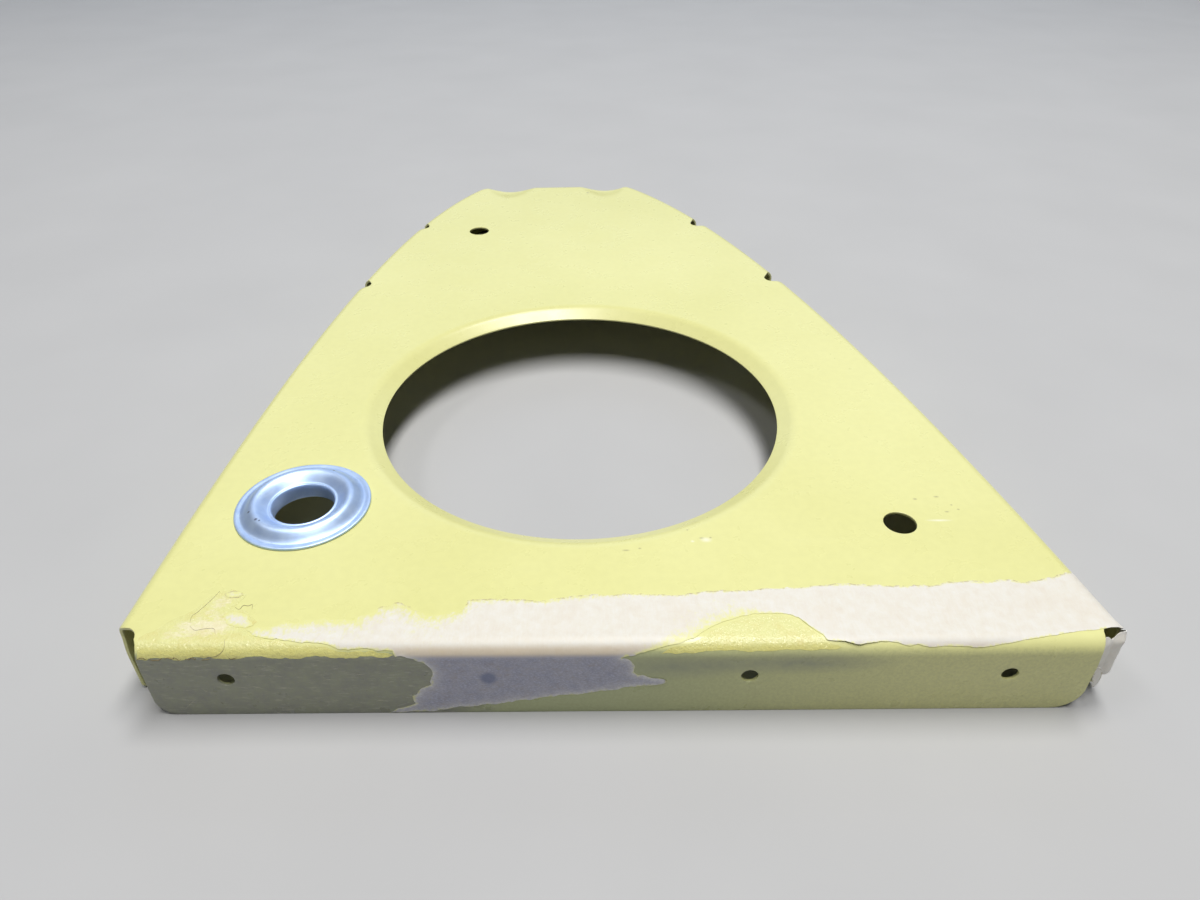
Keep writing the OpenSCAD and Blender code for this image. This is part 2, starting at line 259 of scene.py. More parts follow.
def circle(cx, cy, r, n):
    return [(cx + r * math.cos(2 * math.pi * k / n), cy + r * math.sin(2 * math.pi * k / n))
            for k in range(n)]


def as_object(me, name):
    ob = bpy.data.objects.new(name, me)
    bpy.context.scene.collection.objects.link(ob)
    return ob


def apply_modifiers(ob):
    bpy.context.view_layer.update()
    dg = bpy.context.evaluated_depsgraph_get()
    me = bpy.data.meshes.new_from_object(ob.evaluated_get(dg), preserve_all_data_layers=True, depsgraph=dg)
    ob.modifiers.clear()
    ob.data = me
    return me


def smooth(ob, angle=38, weighted=True):
    me = ob.data
    me.polygons.foreach_set("use_smooth", [True] * len(me.polygons))
    me.set_sharp_from_angle(angle=math.radians(angle))
    if weighted:
        w = ob.modifiers.new("normals", "WEIGHTED_NORMAL")
        w.keep_sharp = True


# ---------------------------------------------------------------------------
# rib sheet: web, bends, flanges, flutes, lip
# ---------------------------------------------------------------------------
ROWS = [LB * k / 12 for k in range(13)]
ROWS += [LB + 13.9 * t for t in (0.04, 0.1, 0.18, 0.27, 0.36, 0.45, 0.54, 0.63, 0.72, 0.8,
                                 0.86, 0.9, 0.93, 0.955, 0.975, 0.99, 1.0)]
skin = Skin()


def pull(x, y, z):
    """Height after the sheet's unevenness, which fades out at the flange edge."""
    return z + sag(x, y) * max(0.0, 1 + z / H)


def flank(u, side, angle):
    """Half opening of a notch at the distance u out from the flange face (inwards is negative)."""
    c, a = NOTCH_R - NOTCH_DEEP[side], math.radians(angle)
    tu, tv = c - NOTCH_R * math.cos(a), NOTCH_R * math.sin(a)
    if u <= tu:
        return math.sqrt(max(0.0, NOTCH_R ** 2 - (u - c) ** 2))
    return tv + (u - tu) / math.tan(a)


def v_far(u, side):
    return flank(min(u, -NOTCH_SQUARE), side, NOTCH_FAR[side])


def v_near(u, side):
    return -flank(u, side, NOTCH_NEAR[side])


def side_strip(side, start, stop, cols, rc0, rc1):
    pts, nrm = [], []
    for s in ROWS:
        d, z, a = prof(s)
        y0, y1 = start(s) + inset(s, rc0), stop(s) - inset(s, rc1)
        pr, nr = [], []
        for i in range(cols + 1):
            y = y0 + (y1 - y0) * i / cols
            p, t, m = side_at(y, side)
            # the flange leans very slightly in and out along its length
            wob = 0.10 * noise.noise(Vector((y * 0.045, side * 7.7, 0.2))) * max(0.0, (s - LB) / 13.9)
            wob = abs(wob)
            x, yy = p[0] + m[0] * (d + wob), p[1] + m[1] * (d + wob)
            pr.append((x, yy, pull(x, yy, z)))
            nr.append((-m[0] * math.sin(a), -m[1] * math.sin(a), math.cos(a)))
        pts.append(pr)
        nrm.append(nr)
    skin.grid(pts, nrm)
    return pts[0]


def near_end(y, side):
    ty = side_at(y, side)[1][1]
    return lambda s: y + v_near(-prof(s)[0], side) * ty


def far_end(y, side):
    ty = side_at(y, side)[1][1]
    return lambda s: y + v_far(-prof(s)[0], side) * ty


def front_left(s):
    return 5.3 + 0.1 * sm(s / 0.7) + 0.95 * sm((s - 0.7) / 2.9) - 0.6 * sm((s - LB) / 5)


def front_right(s):
    return 4.52 + 0.08 * sm(s / 0.7) + 0.5 * sm((s - 0.7) / 2.9)


def notch_arc(y, side):
    """Points on the web round the root of a notch, from its spar side to its nose side."""
    p, t, m = side_at(y, side)
    c = NOTCH_R - NOTCH_DEEP[side]
    a0, a1 = math.radians(NOTCH_NEAR[side]), math.radians(NOTCH_FAR[side])
    loc = [(c - NOTCH_R * math.cos(g), NOTCH_R * math.sin(g)) for g in np.linspace(-a0, a1, 15)]
    return [(p[0] - m[0] * u + t[0] * v, p[1] - m[1] * u + t[1] * v) for u, v in loc if u < -RO - 0.03]


# right side, from the spar end to the nose
row_r1 = side_strip(1, front_right, near_end(NOTCH_R_AT[0], 1), 118, 1.2, 1.6)
row_r2 = side_strip(1, far_end(NOTCH_R_AT[0], 1), near_end(NOTCH_R_AT[1], 1), 40, 1.6, 1.6)
# left side
row_l1 = side_strip(-1, front_left, near_end(NOTCH_L[0], -1), 114, 1.2, 1.6)
row_l2 = side_strip(-1, far_end(NOTCH_L[0], -1), near_end(NOTCH_L[1], -1), 40, 1.6, 1.6)

# nose strip: from the last right notch round the fluted nose to the last left one
path = []
ye = y_right - NOSE_CORNER
for k in range(60):
    path.append(edge(NOTCH_R_AT[1] + (ye - NOTCH_R_AT[1]) * k / 60, 1))
na = (C_R[0] - NOSE_CORNER, nose_y(C_R[0] - NOSE_CORNER))
nb = (C_L[0] + NOSE_CORNER, nose_y(C_L[0] + NOSE_CORNER))


def bez(a, c, b, t):
    return tuple(a[i] * (1 - t) ** 2 + 2 * c[i] * t * (1 - t) + b[i] * t * t for i in (0, 1))


for k in range(16):
    path.append(bez(edge(ye, 1), C_R, na, k / 16))
for k in range(120):
    x = na[0] + (nb[0] - na[0]) * k / 120
    path.append((x, nose_y(x)))
yl = y_left - NOSE_CORNER
for k in range(16):
    path.append(bez(nb, C_L, edge(yl, -1), k / 16))
for k in range(61):
    path.append(edge(yl + (NOTCH_L[1] - yl) * k / 60, -1))
path = np.array(path)
dist = np.concatenate([[0], np.cumsum(np.hypot(*np.diff(path, axis=0).T))])
tan = np.gradient(path, dist, axis=0)
tan /= np.linalg.norm(tan, axis=1)[:, None]


def along(t):
    p = (np.interp(t, dist, path[:, 0]), np.interp(t, dist, path[:, 1]))
    q = np.array([np.interp(t, dist, tan[:, 0]), np.interp(t, dist, tan[:, 1])])
    q /= np.linalg.norm(q)
    return p, (-q[1], q[0])


def nose_flute(p):
    return flute(p[0]) if p[1] > RIB_LEN - 6 else 0.0


pts, nrm = [], []
NC = 190
for s in ROWS:
    d, z, a = prof(s)
    t0 = v_far(-d, 1) + inset(s, 1.6)
    t1 = dist[-1] - v_far(-d, -1) - inset(s, 1.6)
    share = 1 - 0.3 * s / LB if s <= LB else 0.7 * (1 - (s - LB) / 13.9)
    pr, nr = [], []
    for i in range(NC + 1):
        p, m = along(t0 + (t1 - t0) * i / NC)
        f = nose_flute(p)
        dd = d + f * FLUTE_IN
        x, y = p[0] + m[0] * dd, p[1] + m[1] * dd
        pr.append((x, y, pull(x, y, z - f * FLUTE_DIP * share)))
        nr.append((-m[0] * math.sin(a), -m[1] * math.sin(a), math.cos(a)))
    pts.append(pr)
    nrm.append(nr)
skin.grid(pts, nrm)
row_n = pts[0]

# spar flange: rows round the bend, then the flat with its rivet holes
FCOLS = 170


REL_L, REL_LR = (-84.0, 2.5), 2.9
REL_R, REL_RR = (84.1, 2.0), 2.6


def front_end(s, side):
    """Ends of the spar flange, which were cut by hand and run a little unevenly."""
    if side > 0:
        return float(np.interp(s, (0, 0.8, 2, 3, LB, LB + 2.5), (81.6, 81.45, 81.2, 80.97, 80.88, SPAR_R)))
    return float(np.interp(s, (0, 0.5, 1, 2, 3, LB, LB + 2.5), (-81.1, -80.82, -80.6, -80.4, -80.36, -80.4, SPAR_L)))


def front_wave(x, z):
    n = noise.noise(Vector((x * 0.035 + 0.7, z * 0.05, 5.5)))
    return 0.07 * (0.5 + 0.5 * n) * min(1.0, max(0.0, (-z - RO) / 4.0))


pts, nrm = [], []
for s in ROWS[:13] + [LB + 0.6]:
    d, z, a = prof(s)
    x0, x1 = front_end(s, -1), front_end(s, 1)
    pr, nr = [], []
    for i in range(FCOLS + 1):
        x = x0 + (x1 - x0) * i / FCOLS
        pr.append((x, d + front_wave(x, z), pull(x, d, z)))
        nr.append((0.0, -math.sin(a), math.cos(a)))
    pts.append(pr)
    nrm.append(nr)
skin.grid(pts, nrm)
row_f = pts[0]
low_row = [(p[0], prof(LB + 0.6)[1]) for p in pts[-1]]
zb, rr, rl = -H, 5.0, 3.8


def down(z):
    return LB + (-z - RO)


outer = list(low_row)
outer += [(front_end(down(z), 1), z) for z in np.linspace(low_row[-1][1], zb + rr, 13)[1:]]
outer += [(SPAR_R - rr + rr * math.cos(a), zb + rr - rr * math.sin(a))
          for a in np.linspace(0, math.pi / 2, 15)[1:]]
outer += [(x, zb) for x in np.linspace(SPAR_R - rr, SPAR_L + rl, 100)[1:]]
outer += [(SPAR_L + rl - rl * math.sin(a), zb + rl - rl * math.cos(a))
          for a in np.linspace(0, math.pi / 2, 15)[1:]]
outer += [(front_end(down(z), -1), z) for z in np.linspace(zb + rl, low_row[0][1], 13)[1:-1]]
rivets = [circle((k - 1.5) * RIVET_PITCH, -RIVET_DROP, RIVET_R, 40) for k in range(4)]
extra = [(x, z) for x in np.arange(SPAR_L, SPAR_R, 1.6) for z in np.arange(zb + 0.9, -3.6, 1.3)]
v, f = fill(outer, rivets, extra, 0.45)
skin.tris([(p[0], front_wave(p[0], p[1]), pull(p[0], 0, p[1])) for p in v],
          [(0.0, -1.0, 0.0)] * len(v), f)

# web outline, counter-clockwise from the left front corner
web = list(row_f)
ca = [(REL_R[0] - REL_RR * math.cos(a), REL_R[1] + REL_RR * math.sin(a))
      for a in np.linspace(math.asin((RO - REL_R[1]) / REL_RR), math.radians(80), 14)]
web += [p for p in ca[1:] if p[0] < row_r1[0][0] - 0.08]
web += row_r1
web += notch_arc(NOTCH_R_AT[0], 1)
web += row_r2
web += notch_arc(NOTCH_R_AT[1], 1)
web += row_n
web += notch_arc(NOTCH_L[1], -1)[::-1]
web += list(reversed(row_l2))
web += notch_arc(NOTCH_L[0], -1)[::-1]
web += list(reversed(row_l1))
cl = [(REL_L[0] + REL_LR * math.cos(a), REL_L[1] + REL_LR * math.sin(a))
      for a in np.linspace(math.radians(80), math.asin((RO - REL_L[1]) / REL_LR), 14)]
web += [p for p in cl[:-1] if p[0] > row_l1[0][0] + 0.08]


def web_z(x, y):
    d = (nose_y(x) - y) * math.cos(NOSE_SLANT)
    f = flute(x) if d < 16 else 0.0
    g = (d - (RO + FLUTE_IN * f)) / (1.2 + 7.5 * f)
    return -FLUTE_DIP * f * (1 - sm(g))


HOLE_N = 224
extra = [(x + 1.3 * (k % 2), y) for k, y in enumerate(np.arange(3, 224, 2.25)) for x in np.arange(-86, 87, 2.6)
         if y < 207 or not -50.8 < x + 1.3 * (k % 2) < 14.4]
extra += [(x + 0.4, y) for x in np.arange(-50, 14, 1.0) for y in np.arange(208, 223.5, 0.8)]
v, f = fill(web, [circle(HOLE_X, HOLE_Y, SHOULDER, HOLE_N), circle(*TOOL_NEAR, TOOL_R, 56),
                  circle(*TOOL_FAR, TOOL_R, 56), circle(*GROM, GROM_BORE + 0.5, 56)], extra, 0.6)
rim = {(round(p[0], 4), round(p[1], 4)): p[2] for p in row_f + row_r1 + row_r2 + row_n + row_l1 + row_l2}
wp = []
for p in v:
    k = (round(p[0], 4), round(p[1], 4))
    wp.append((p[0], p[1], rim[k] if k in rim else pull(p[0], p[1], web_z(p[0], p[1]))))
skin.tris(wp, [(0.0, 0.0, 1.0)] * len(wp), f)

# flared lip of the lightening hole
prof_lip = [(SHOULDER - LIP_R * math.sin(a), -LIP_R + LIP_R * math.cos(a))
            for a in np.linspace(0, LIP_SLOPE, 10)]
prof_lip += [(prof_lip[-1][0] - LIP_LEN * k * math.cos(LIP_SLOPE),
              prof_lip[-1][1] - LIP_LEN * k * math.sin(LIP_SLOPE)) for k in (0.25, 0.5, 0.75, 1.0)]
pts, nrm = [], []
for r, z in prof_lip:
    row = []
    for k in range(HOLE_N + 1):
        a = 2 * math.pi * (k % HOLE_N) / HOLE_N
        x, y = HOLE_X + r * math.cos(a), HOLE_Y + r * math.sin(a)
        row.append((x, y, z + sag(x, y)))
    pts.append(row)
    nrm.append([(0.0, 0.0, 1.0)] * (HOLE_N + 1))
# the outer row takes exactly the web's heights
pts[0] = [(x, y, pull(x, y, 0.0)) for x, y, z in pts[0]]
skin.grid(pts, nrm)

rib = as_object(skin.mesh("rib_skin"), "rib_panel")
so = rib.modifiers.new("gauge", "SOLIDIFY")
so.thickness = T * 1e-3
so.offset = -1
so.use_even_offset = True
so.use_quality_normals = True
so.use_rim = True
bv = rib.modifiers.new("edges", "BEVEL")
bv.width = 0.00011
bv.segments = 2
bv.limit_method = "ANGLE"
bv.angle_limit = math.radians(55)
bv.use_clamp_overlap = True
apply_modifiers(rib)
for q in rib.data.vertices:
    q.co.z = max(0.0, q.co.z)
smooth(rib, 40)
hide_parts("rib_sheet")
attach(rib, "root")

# ---------------------------------------------------------------------------
# grommet: spun eyelet with a dished crown and a rolled tail
# ---------------------------------------------------------------------------
def spline(ctrl, per):
    """Catmull-Rom through the control points."""
    c = [np.array(p, float) for p in ctrl]
    c = [2 * c[0] - c[1]] + c + [2 * c[-1] - c[-2]]
    out = []
    for i in range(1, len(c) - 2):
        for k in range(per):
            t = k / per
            out.append(0.5 * (2 * c[i] + (c[i + 1] - c[i - 1]) * t
                              + (2 * c[i - 1] - 5 * c[i] + 4 * c[i + 1] - c[i + 2]) * t * t
                              + (3 * c[i] - c[i - 1] - 3 * c[i + 1] + c[i + 2]) * t ** 3))
    out.append(c[-2])
    return [tuple(p) for p in out]


g_top = [(13.05, 0.02), (13.2, 0.12), (13.2, 0.36), (13.1, 0.5), (12.75, 0.55), (12.4, 0.5),
         (12.05, 0.46), (11.7, 0.58), (11.2, 0.95), (10.6, 1.5), (10.0, 1.98), (9.4, 2.2),
         (8.8, 2.12), (8.2, 1.78), (7.6, 1.3), (7.1, 0.86), (6.86, 0.66), (6.68, 0.6),
         (6.5, 0.66), (6.34, 0.68), (6.18, 0.57), (6.06, 0.3), (6.0, -0.25)]
g_rest = [(6.0, -1.2), (6.02, -2.2), (6.3, -2.7), (6.9, -3.0), (7.7, -2.9), (8.5, -2.2),
          (8.9, -1.3), (9.05, -0.62), (8.6, -0.62), (8.3, -1.3), (7.9, -1.9), (7.4, -2.4),
          (6.9, -2.4), (6.52, -2.0), (6.5, -0.2)]
ring = spline(g_top, 4) + spline(g_rest, 3)[0:]
ring += [(7.2, 0.03), (9.0, 0.03), (11.0, 0.03)]
GN = 160
gv, gf = [], []
for k in range(GN):
    a = 2 * math.pi * k / GN
    for r, z in ring:
        # slightly uneven hand-set rim
        w = 0.05 * math.sin(3 * a + 0.8) * max(0.0, (r - 11.5) / 1.7)
        x, y = GROM[0] + (r + min(0.0, w)) * math.cos(a), GROM[1] + (r + min(0.0, w)) * math.sin(a)
        gv.append(put((x, y, z)))
nr_ = len(ring)
for k in range(GN):
    for i in range(nr_):
        a, b = k * nr_ + i, k * nr_ + (i + 1) % nr_
        c, d = ((k + 1) % GN) * nr_ + (i + 1) % nr_, ((k + 1) % GN) * nr_ + i
        gf.append((a, d, c, b))
me = bpy.data.meshes.new("grommet_shell")
me.from_pydata(gv, [], gf)
bm = bmesh.new()
bm.from_mesh(me)
bmesh.ops.recalc_face_normals(bm, faces=bm.faces)
bm.to_mesh(me)
bm.free()
grommet = as_object(me, "grommet_eyelet")
smooth(grommet, 50, False)
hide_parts("grommet")
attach(grommet, "root")

# ---------------------------------------------------------------------------
# tape: torn outline in (across, distance down the skin from the front bend)
# ---------------------------------------------------------------------------
def on_skin(x, s, h):
    """Point h above the outer face at (x, s); past the right edge it follows the side bend."""
    if s < 0:
        y = RO - s
        m = side_at(y, 1)[2]
        p, _, m = side_at(y - m[1] * RO, 1)
        x0 = p[0] + m[0] * RO
        if x <= x0:
            return x, y, h + pull(x, y, 0.0)
        q = x - x0
        if q < LB:
            a = q / RO
            d, z = RO - (RO + h) * math.sin(a), -RO + (RO + h) * math.cos(a)
        else:
            d, z = -h, -RO - (q - LB)
        X, Y = p[0] + m[0] * d, p[1] + m[1] * d
        return X, Y, pull(X, Y, z)
    if s < LB:
        a = s / RO
        y, z = RO - (RO + h) * math.sin(a), -RO + (RO + h) * math.cos(a)
        return x, y, pull(x, y, z)
    z = -RO - (s - LB)
    return x, front_wave(x, z) - h, pull(x, 0, z)


def rough(poly, step, amp, seed, calm=None):
    """Closed outline with torn fibre detail between its corners."""
    rnd = random.Random(seed)
    pts = [np.array(p, float) for p in poly]
    while True:
        out, split = [], False
        for a, b in zip(pts, pts[1:] + pts[:1]):
            out.append(a)
            L = float(np.hypot(*(b - a)))
            if L > step:
                n = np.array([-(b - a)[1], (b - a)[0]]) / L
                k = amp * min(1.0, L / 2.0)
                if calm is not None:
                    k *= calm((a + b) / 2)
                out.append((a + b) / 2 + n * rnd.uniform(-1, 1) * k * min(L * 0.3, 0.5))
                split = True
        pts = out
        if not split:
            return [tuple(p) for p in pts]


def gap_line(line, pts):
    """Distance of points from an open line."""
    line = np.asarray(line, float)
    best = np.full(len(pts), 1e9)
    for a, b in zip(line[:-1], line[1:]):
        d = b - a
        t = np.clip(((pts - a) @ d) / float(d @ d), 0, 1)
        best = np.minimum(best, np.hypot(*(pts - (a + t[:, None] * d)).T))
    return best


def film_mesh(name, outline, spacing, place, gauge, thin=None):
    """Thin closed sheet, triangulated in the flat and put in place, with its rim distance kept."""
    o = np.array(outline)
    lo, hi = o.min(0), o.max(0)
    rnd = random.Random(11)
    ex = []
    nx, ny = int((hi[0] - lo[0]) / spacing) + 1, int((hi[1] - lo[1]) / spacing) + 1
    for i in range(nx):
        for j in range(ny):
            ex.append((lo[0] + (i + 0.5 * (j % 2) + rnd.uniform(-.2, .2)) * spacing,
                       lo[1] + (j + rnd.uniform(-.2, .2)) * spacing))
    v, f = fill(outline, [], ex, spacing * 0.45)
    gap = gap_to(outline, v)
    p3, n3 = [], []
    for (x, s), g in zip(v, gap):
        a, b = np.array(place(x, s, g, 0.0)), np.array(place(x, s, g, 1.0))
        p3.append(np.array(put(a)))
        n3.append(b - a)
    faces = []
    for t in f:
        a, b, c = (p3[k] for k in t)
        faces.append(t if float(np.cross(b - a, c - a) @ sum(n3[k] for k in t)) >= 0 else t[::-1])
    me = bpy.data.meshes.new(name)
    me.from_pydata([tuple(q) for q in p3], [], faces)
    layers = [("rim", np.exp(-gap / 0.7)), ("across", v[:, 0]), ("down", v[:, 1]),
              ("thin", thin(v) if thin is not None else np.zeros(len(v)))]
    for nm, vals in layers:
        at = me.attributes.new(nm, "FLOAT", "POINT")
        at.data.foreach_set("value", [float(q) for q in vals])
    ob = as_object(me, name)
    so = ob.modifiers.new("gauge", "SOLIDIFY")
    so.thickness = gauge * 1e-3
    so.offset = 1
    so.use_rim = True
    apply_modifiers(ob)
    bm = bmesh.new()
    bm.from_mesh(ob.data)
    loose = [q for q in bm.verts if not q.link_faces]
    bmesh.ops.delete(bm, geom=loose, context="VERTS")
    bm.to_mesh(ob.data)
    bm.free()
    smooth(ob, 60, False)
    return ob


def laid(lift):
    return lambda x, s, g, e: on_skin(x, s, lift(x, s, g) + e)


tape_up = [(-62.7, -1.6), (-61.8, -2.5), (-59.5, -2.3), (-58, -3.2), (-56.7, -3.6), (-55.2, -3.2),
           (-52, -3.9), (-49.3, -3.9), (-44.9, -3.9), (-44.4, -4.9), (-42.5, -5.7), (-41.3, -6.9),
           (-39.8, -7.2), (-38, -8), (-37, -7.2), (-35.4, -6.2), (-33.4, -5), (-31.5, -4.8),
           (-29.3, -5.4), (-27.5, -5.4), (-26.7, -6.8), (-26.4, -8.3), (-21.8, -8.6), (-19.4, -8.6),
           (-15.4, -8.2), (-12.5, -8.1), (-9.5, -8.8), (-3.1, -9.4), (2.8, -9.7), (8.7, -9.3),
           (13.4, -9.6), (15.9, -10.2), (22.9, -10.3), (26.5, -10.9), (32.5, -10.9), (35, -11.4),
           (42.2, -11.6), (49.3, -11.1), (56.5, -11.2), (59.3, -12.1), (62.6, -12.2), (66.2, -11.9),
           (69.5, -12.5), (72.8, -11.8), (75.3, -12.3), (78.9, -13.2), (82, -14.2)]
tape_side = [(84.2, -14.4), (85.5, -13.9), (86.6, -12.7), (87.2, -11), (87.5, -8.5), (87.6, -6),
             (87.8, -4), (87.6, -2.4), (86.5, -1.5), (85.3, -0.9), (84.2, -0.95), (83.2, -1.0)]
tape_low = [(82.3, -0.8), (79.1, -0.4), (73.9, 0.4), (70.2, 1), (66.5, 1.6), (63.2, 2.1), (60.1, 2.5),
            (57.8, 2.3), (54.7, 2.2), (52.6, 2.4), (50.7, 2.2), (49.8, 1.9), (48.4, 2.2), (46.4, 1.6),
            (43.6, 1.4), (40.1, 1.9), (36.8, 1.3), (34.6, 1.1), (34.1, 0.1), (33.2, -0.7),
            (31.9, -2.2), (30.8, -3.7), (29.8, -4.3), (28, -4.7), (23.2, -4.7), (20.8, -4.1),
            (18.6, -3.2), (15.4, -1.6), (12.4, 0.7), (9.7, 1.6), (7.5, 2), (5.7, 2.5), (3.4, 3),
            (1.2, 3.6), (0.3, 4)]
patch_edge = [(1.9, 4.8), (2.6, 6.2), (2.4, 7.6), (3.1, 8.4), (4.7, 8.8), (6.8, 9.2), (8.2, 10.1),
              (6.9, 10.8), (3.7, 11.2), (0.2, 11.9), (-3.2, 12.4), (-6.7, 13.3), (-10.6, 13.6),
              (-13.7, 14.3), (-17.2, 14.8), (-22.9, 15.8), (-26.5, 16.5), (-31.3, 17.2),
              (-34.8, 17.7), (-38.4, 18), (-40.3, 18), (-39.2, 17.3), (-37, 16.4), (-35.3, 15.5),
              (-35.7, 13.6), (-34.4, 12.2), (-32.1, 10.5), (-31.5, 7.3), (-33, 4.6), (-34.3, 3.9)]
tape_low2 = [(-37.3, 3.4), (-37.7, 2.4), (-39.1, 2.3), (-43.1, 2), (-45.7, 2.1), (-47.5, 1.7),
             (-48.7, 1.3), (-51.9, 0.9), (-55.8, 0.6), (-58.7, 0.2), (-61.2, -0.4)]


def tape_calm(p):
    x, s = p
    if s > -4 and x > 33:
        return 0.3 if x > 45 else 0.4
    if 5 < x < 33 and -6 < s < 4:
        return 0.55
    return 1.0


outline = rough(list(reversed(tape_up)) + tape_low2[::-1] + patch_edge[::-1] + tape_low[::-1]
                + tape_side[::-1], 0.3, 0.55, 5, tape_calm)


def tape_lift(x, s, g):
    n = noise.noise(Vector((x * 0.35, s * 0.6, 2.0)))
    w = noise.noise(Vector((x * 0.12 + s * 0.1, s * 0.22 - x * 0.03, 7.0)))
    h = 0.022 + 0.012 * n + 0.05 * max(0.0, w)
    h = max(0.012, h * (0.4 + 0.6 * min(1.0, g / 0.8)))
    if 0 < s < LB + 0.5:
        h += 0.018
    # loose lip over the bend beside the bare bay
    h += 0.26 * math.exp(-((x - 38.5) / 4.6) ** 2) * sm((s - 0.1) / 1.5)
    h += 0.06 * math.exp(-((x - 31.8) / 2.2) ** 2 - ((s + 2.4) / 1.6) ** 2) * math.exp(-g / 0.8)
    # tip of the patch
    h += 0.10 * math.exp(-((x - 7) / 2.2) ** 2 - ((s - 10) / 1.2) ** 2)
    # crumpled right end
    if s < 0.5:
        k = sm((x - 81.5) / 2.5) * sm((4.2 + s) / 3.0)
        h += k * (0.14 + 0.2 * noise.noise(Vector((x * 1.1, s * 1.1, 9.0))))
    return h


def tape_thin(v):
    """How far the paper has worn to a haze over the paint, from 0 to 1."""
    x = v[:, 0]
    up = np.exp(-gap_line(tape_up, v) / np.interp(x, (-64, -46, -30, -25, 4, 20), (1.6, 2.1, 2.3, 1.0, 0.7, 0.4)))
    lo = np.exp(-gap_line(tape_low, v) / np.interp(x, (2, 6, 10, 20, 25, 29), (0.12, 0.9, 2.6, 2.4, 0.8, 0.1)))
    lo2 = np.exp(-gap_line(tape_low2, v) / 0.3)
    pe = 0.7 * np.exp(-gap_line(patch_edge, v) / 0.25)
    worn = np.interp(x, (-63, -56, -50, -44, -34, -28, -20), (0.19, 0.09, 0.05, 0.07, 0.10, 0.04, 0.0))
    return np.clip(np.maximum.reduce([up, lo, lo2, pe]) + worn, 0, 1)


tape = film_mesh("tape_strip", outline, 0.5, laid(tape_lift), 0.055, tape_thin)
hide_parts("masking_tape")
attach(tape, "root")

# crumpled tab: along the right side flange, round its front edge and across the corner gap
plan = [(80.9, 1.5), (81.8, 1.75), (83.0, 2.2), (84.2, 2.55), (85.3, 2.75), (86.02, 3.15), (86.28, 3.9)]
plan += [(edge(y, 1)[0] + 0.12, y) for y in (5.2, 7.0, 9.0, 11.0, 13.0)]
plan = np.array(spline(plan, 10))
pw = np.concatenate([[0], np.cumsum(np.hypot(*np.diff(plan, axis=0).T))])
pt = np.gradient(plan, pw, axis=0)


def tab_place(w, z, g, e):
    x, y = np.interp(w, pw, plan[:, 0]), np.interp(w, pw, plan[:, 1])
    tx, ty = np.interp(w, pw, pt[:, 0]), np.interp(w, pw, pt[:, 1])
    L = math.hypot(tx, ty)
    mx, my = ty / L, -tx / L
    free = 1 - sm((w - 6.2) / 2.0)
    c = noise.noise(Vector((w * 0.55, z * 0.4, 4.4))) + 0.5 * noise.noise(Vector((w * 1.4, z * 0.9, 8.1)))
    h = 0.02 + free * (0.10 + 0.17 * c)
    # a crease runs down from the cleft, and the top leans back towards the web
    h -= free * 0.22 * math.exp(-((w - 2.7 + 0.1 * (z + 2)) / 0.45) ** 2)
    lean = free * 0.75 * sm((z + 2.8) / 2.2)
    return x + mx * (h + e), y + my * (h + e) + lean, z


tab_line = [(0.7, -1.4), (1.2, -0.9), (1.7, -1.05), (2.2, -1.5), (2.65, -1.85), (3.1, -1.6), (3.6, -1.1),
            (4.2, -0.8), (4.9, -0.75), (5.6, -1.0), (6.3, -1.5), (7.4, -2.1), (9, -2.5), (11, -2.55),
            (13, -2.6), (14.6, -2.7), (15.1, -3.5), (14.9, -4.6), (14.2, -5.6), (13, -6.4), (12, -7.4),
            (10.6, -8.6), (9.2, -9.4), (7.8, -9.8), (6.6, -10.1), (5.6, -10.2), (4.9, -10.5), (4.2, -10.6),
            (3.7, -10.3), (3.2, -9.6), (2.6, -8.95), (2.1, -8.5), (1.4, -8.3), (0.7, -7.6), (0.25, -6.2),
            (0.2, -4.8), (0.5, -3.6), (0.75, -2.6), (0.62, -1.9)]
tab = film_mesh("tape_tab_fold", rough(tab_line, 0.22, 0.4, 31), 0.33, tab_place, 0.13)
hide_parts("tape_tab")
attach(tab, "root")


def flap_place(x, z, g, e):
    c = noise.noise(Vector((x * 0.9, z * 0.5, 2.4)))
    curl = 0.25 * ((x - 82.7) / 1.0) ** 2
    return x, 0.98 + 0.14 * (x - 81.4) + curl * 0.5 - 0.12 * c - e, z


flap_line = [(81.7, -6.9), (82.6, -7.2), (83.3, -8.3), (83.7, -9.6), (83.8, -10.9), (83.6, -12.1),
             (83.2, -12.45), (82.8, -12.2), (82.5, -11.4), (82.2, -10.2), (81.9, -8.8)]
flap = film_mesh("tape_tab_flap", rough(flap_line, 0.22, 0.4, 33), 0.33, flap_place, 0.11)
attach(flap, "root")

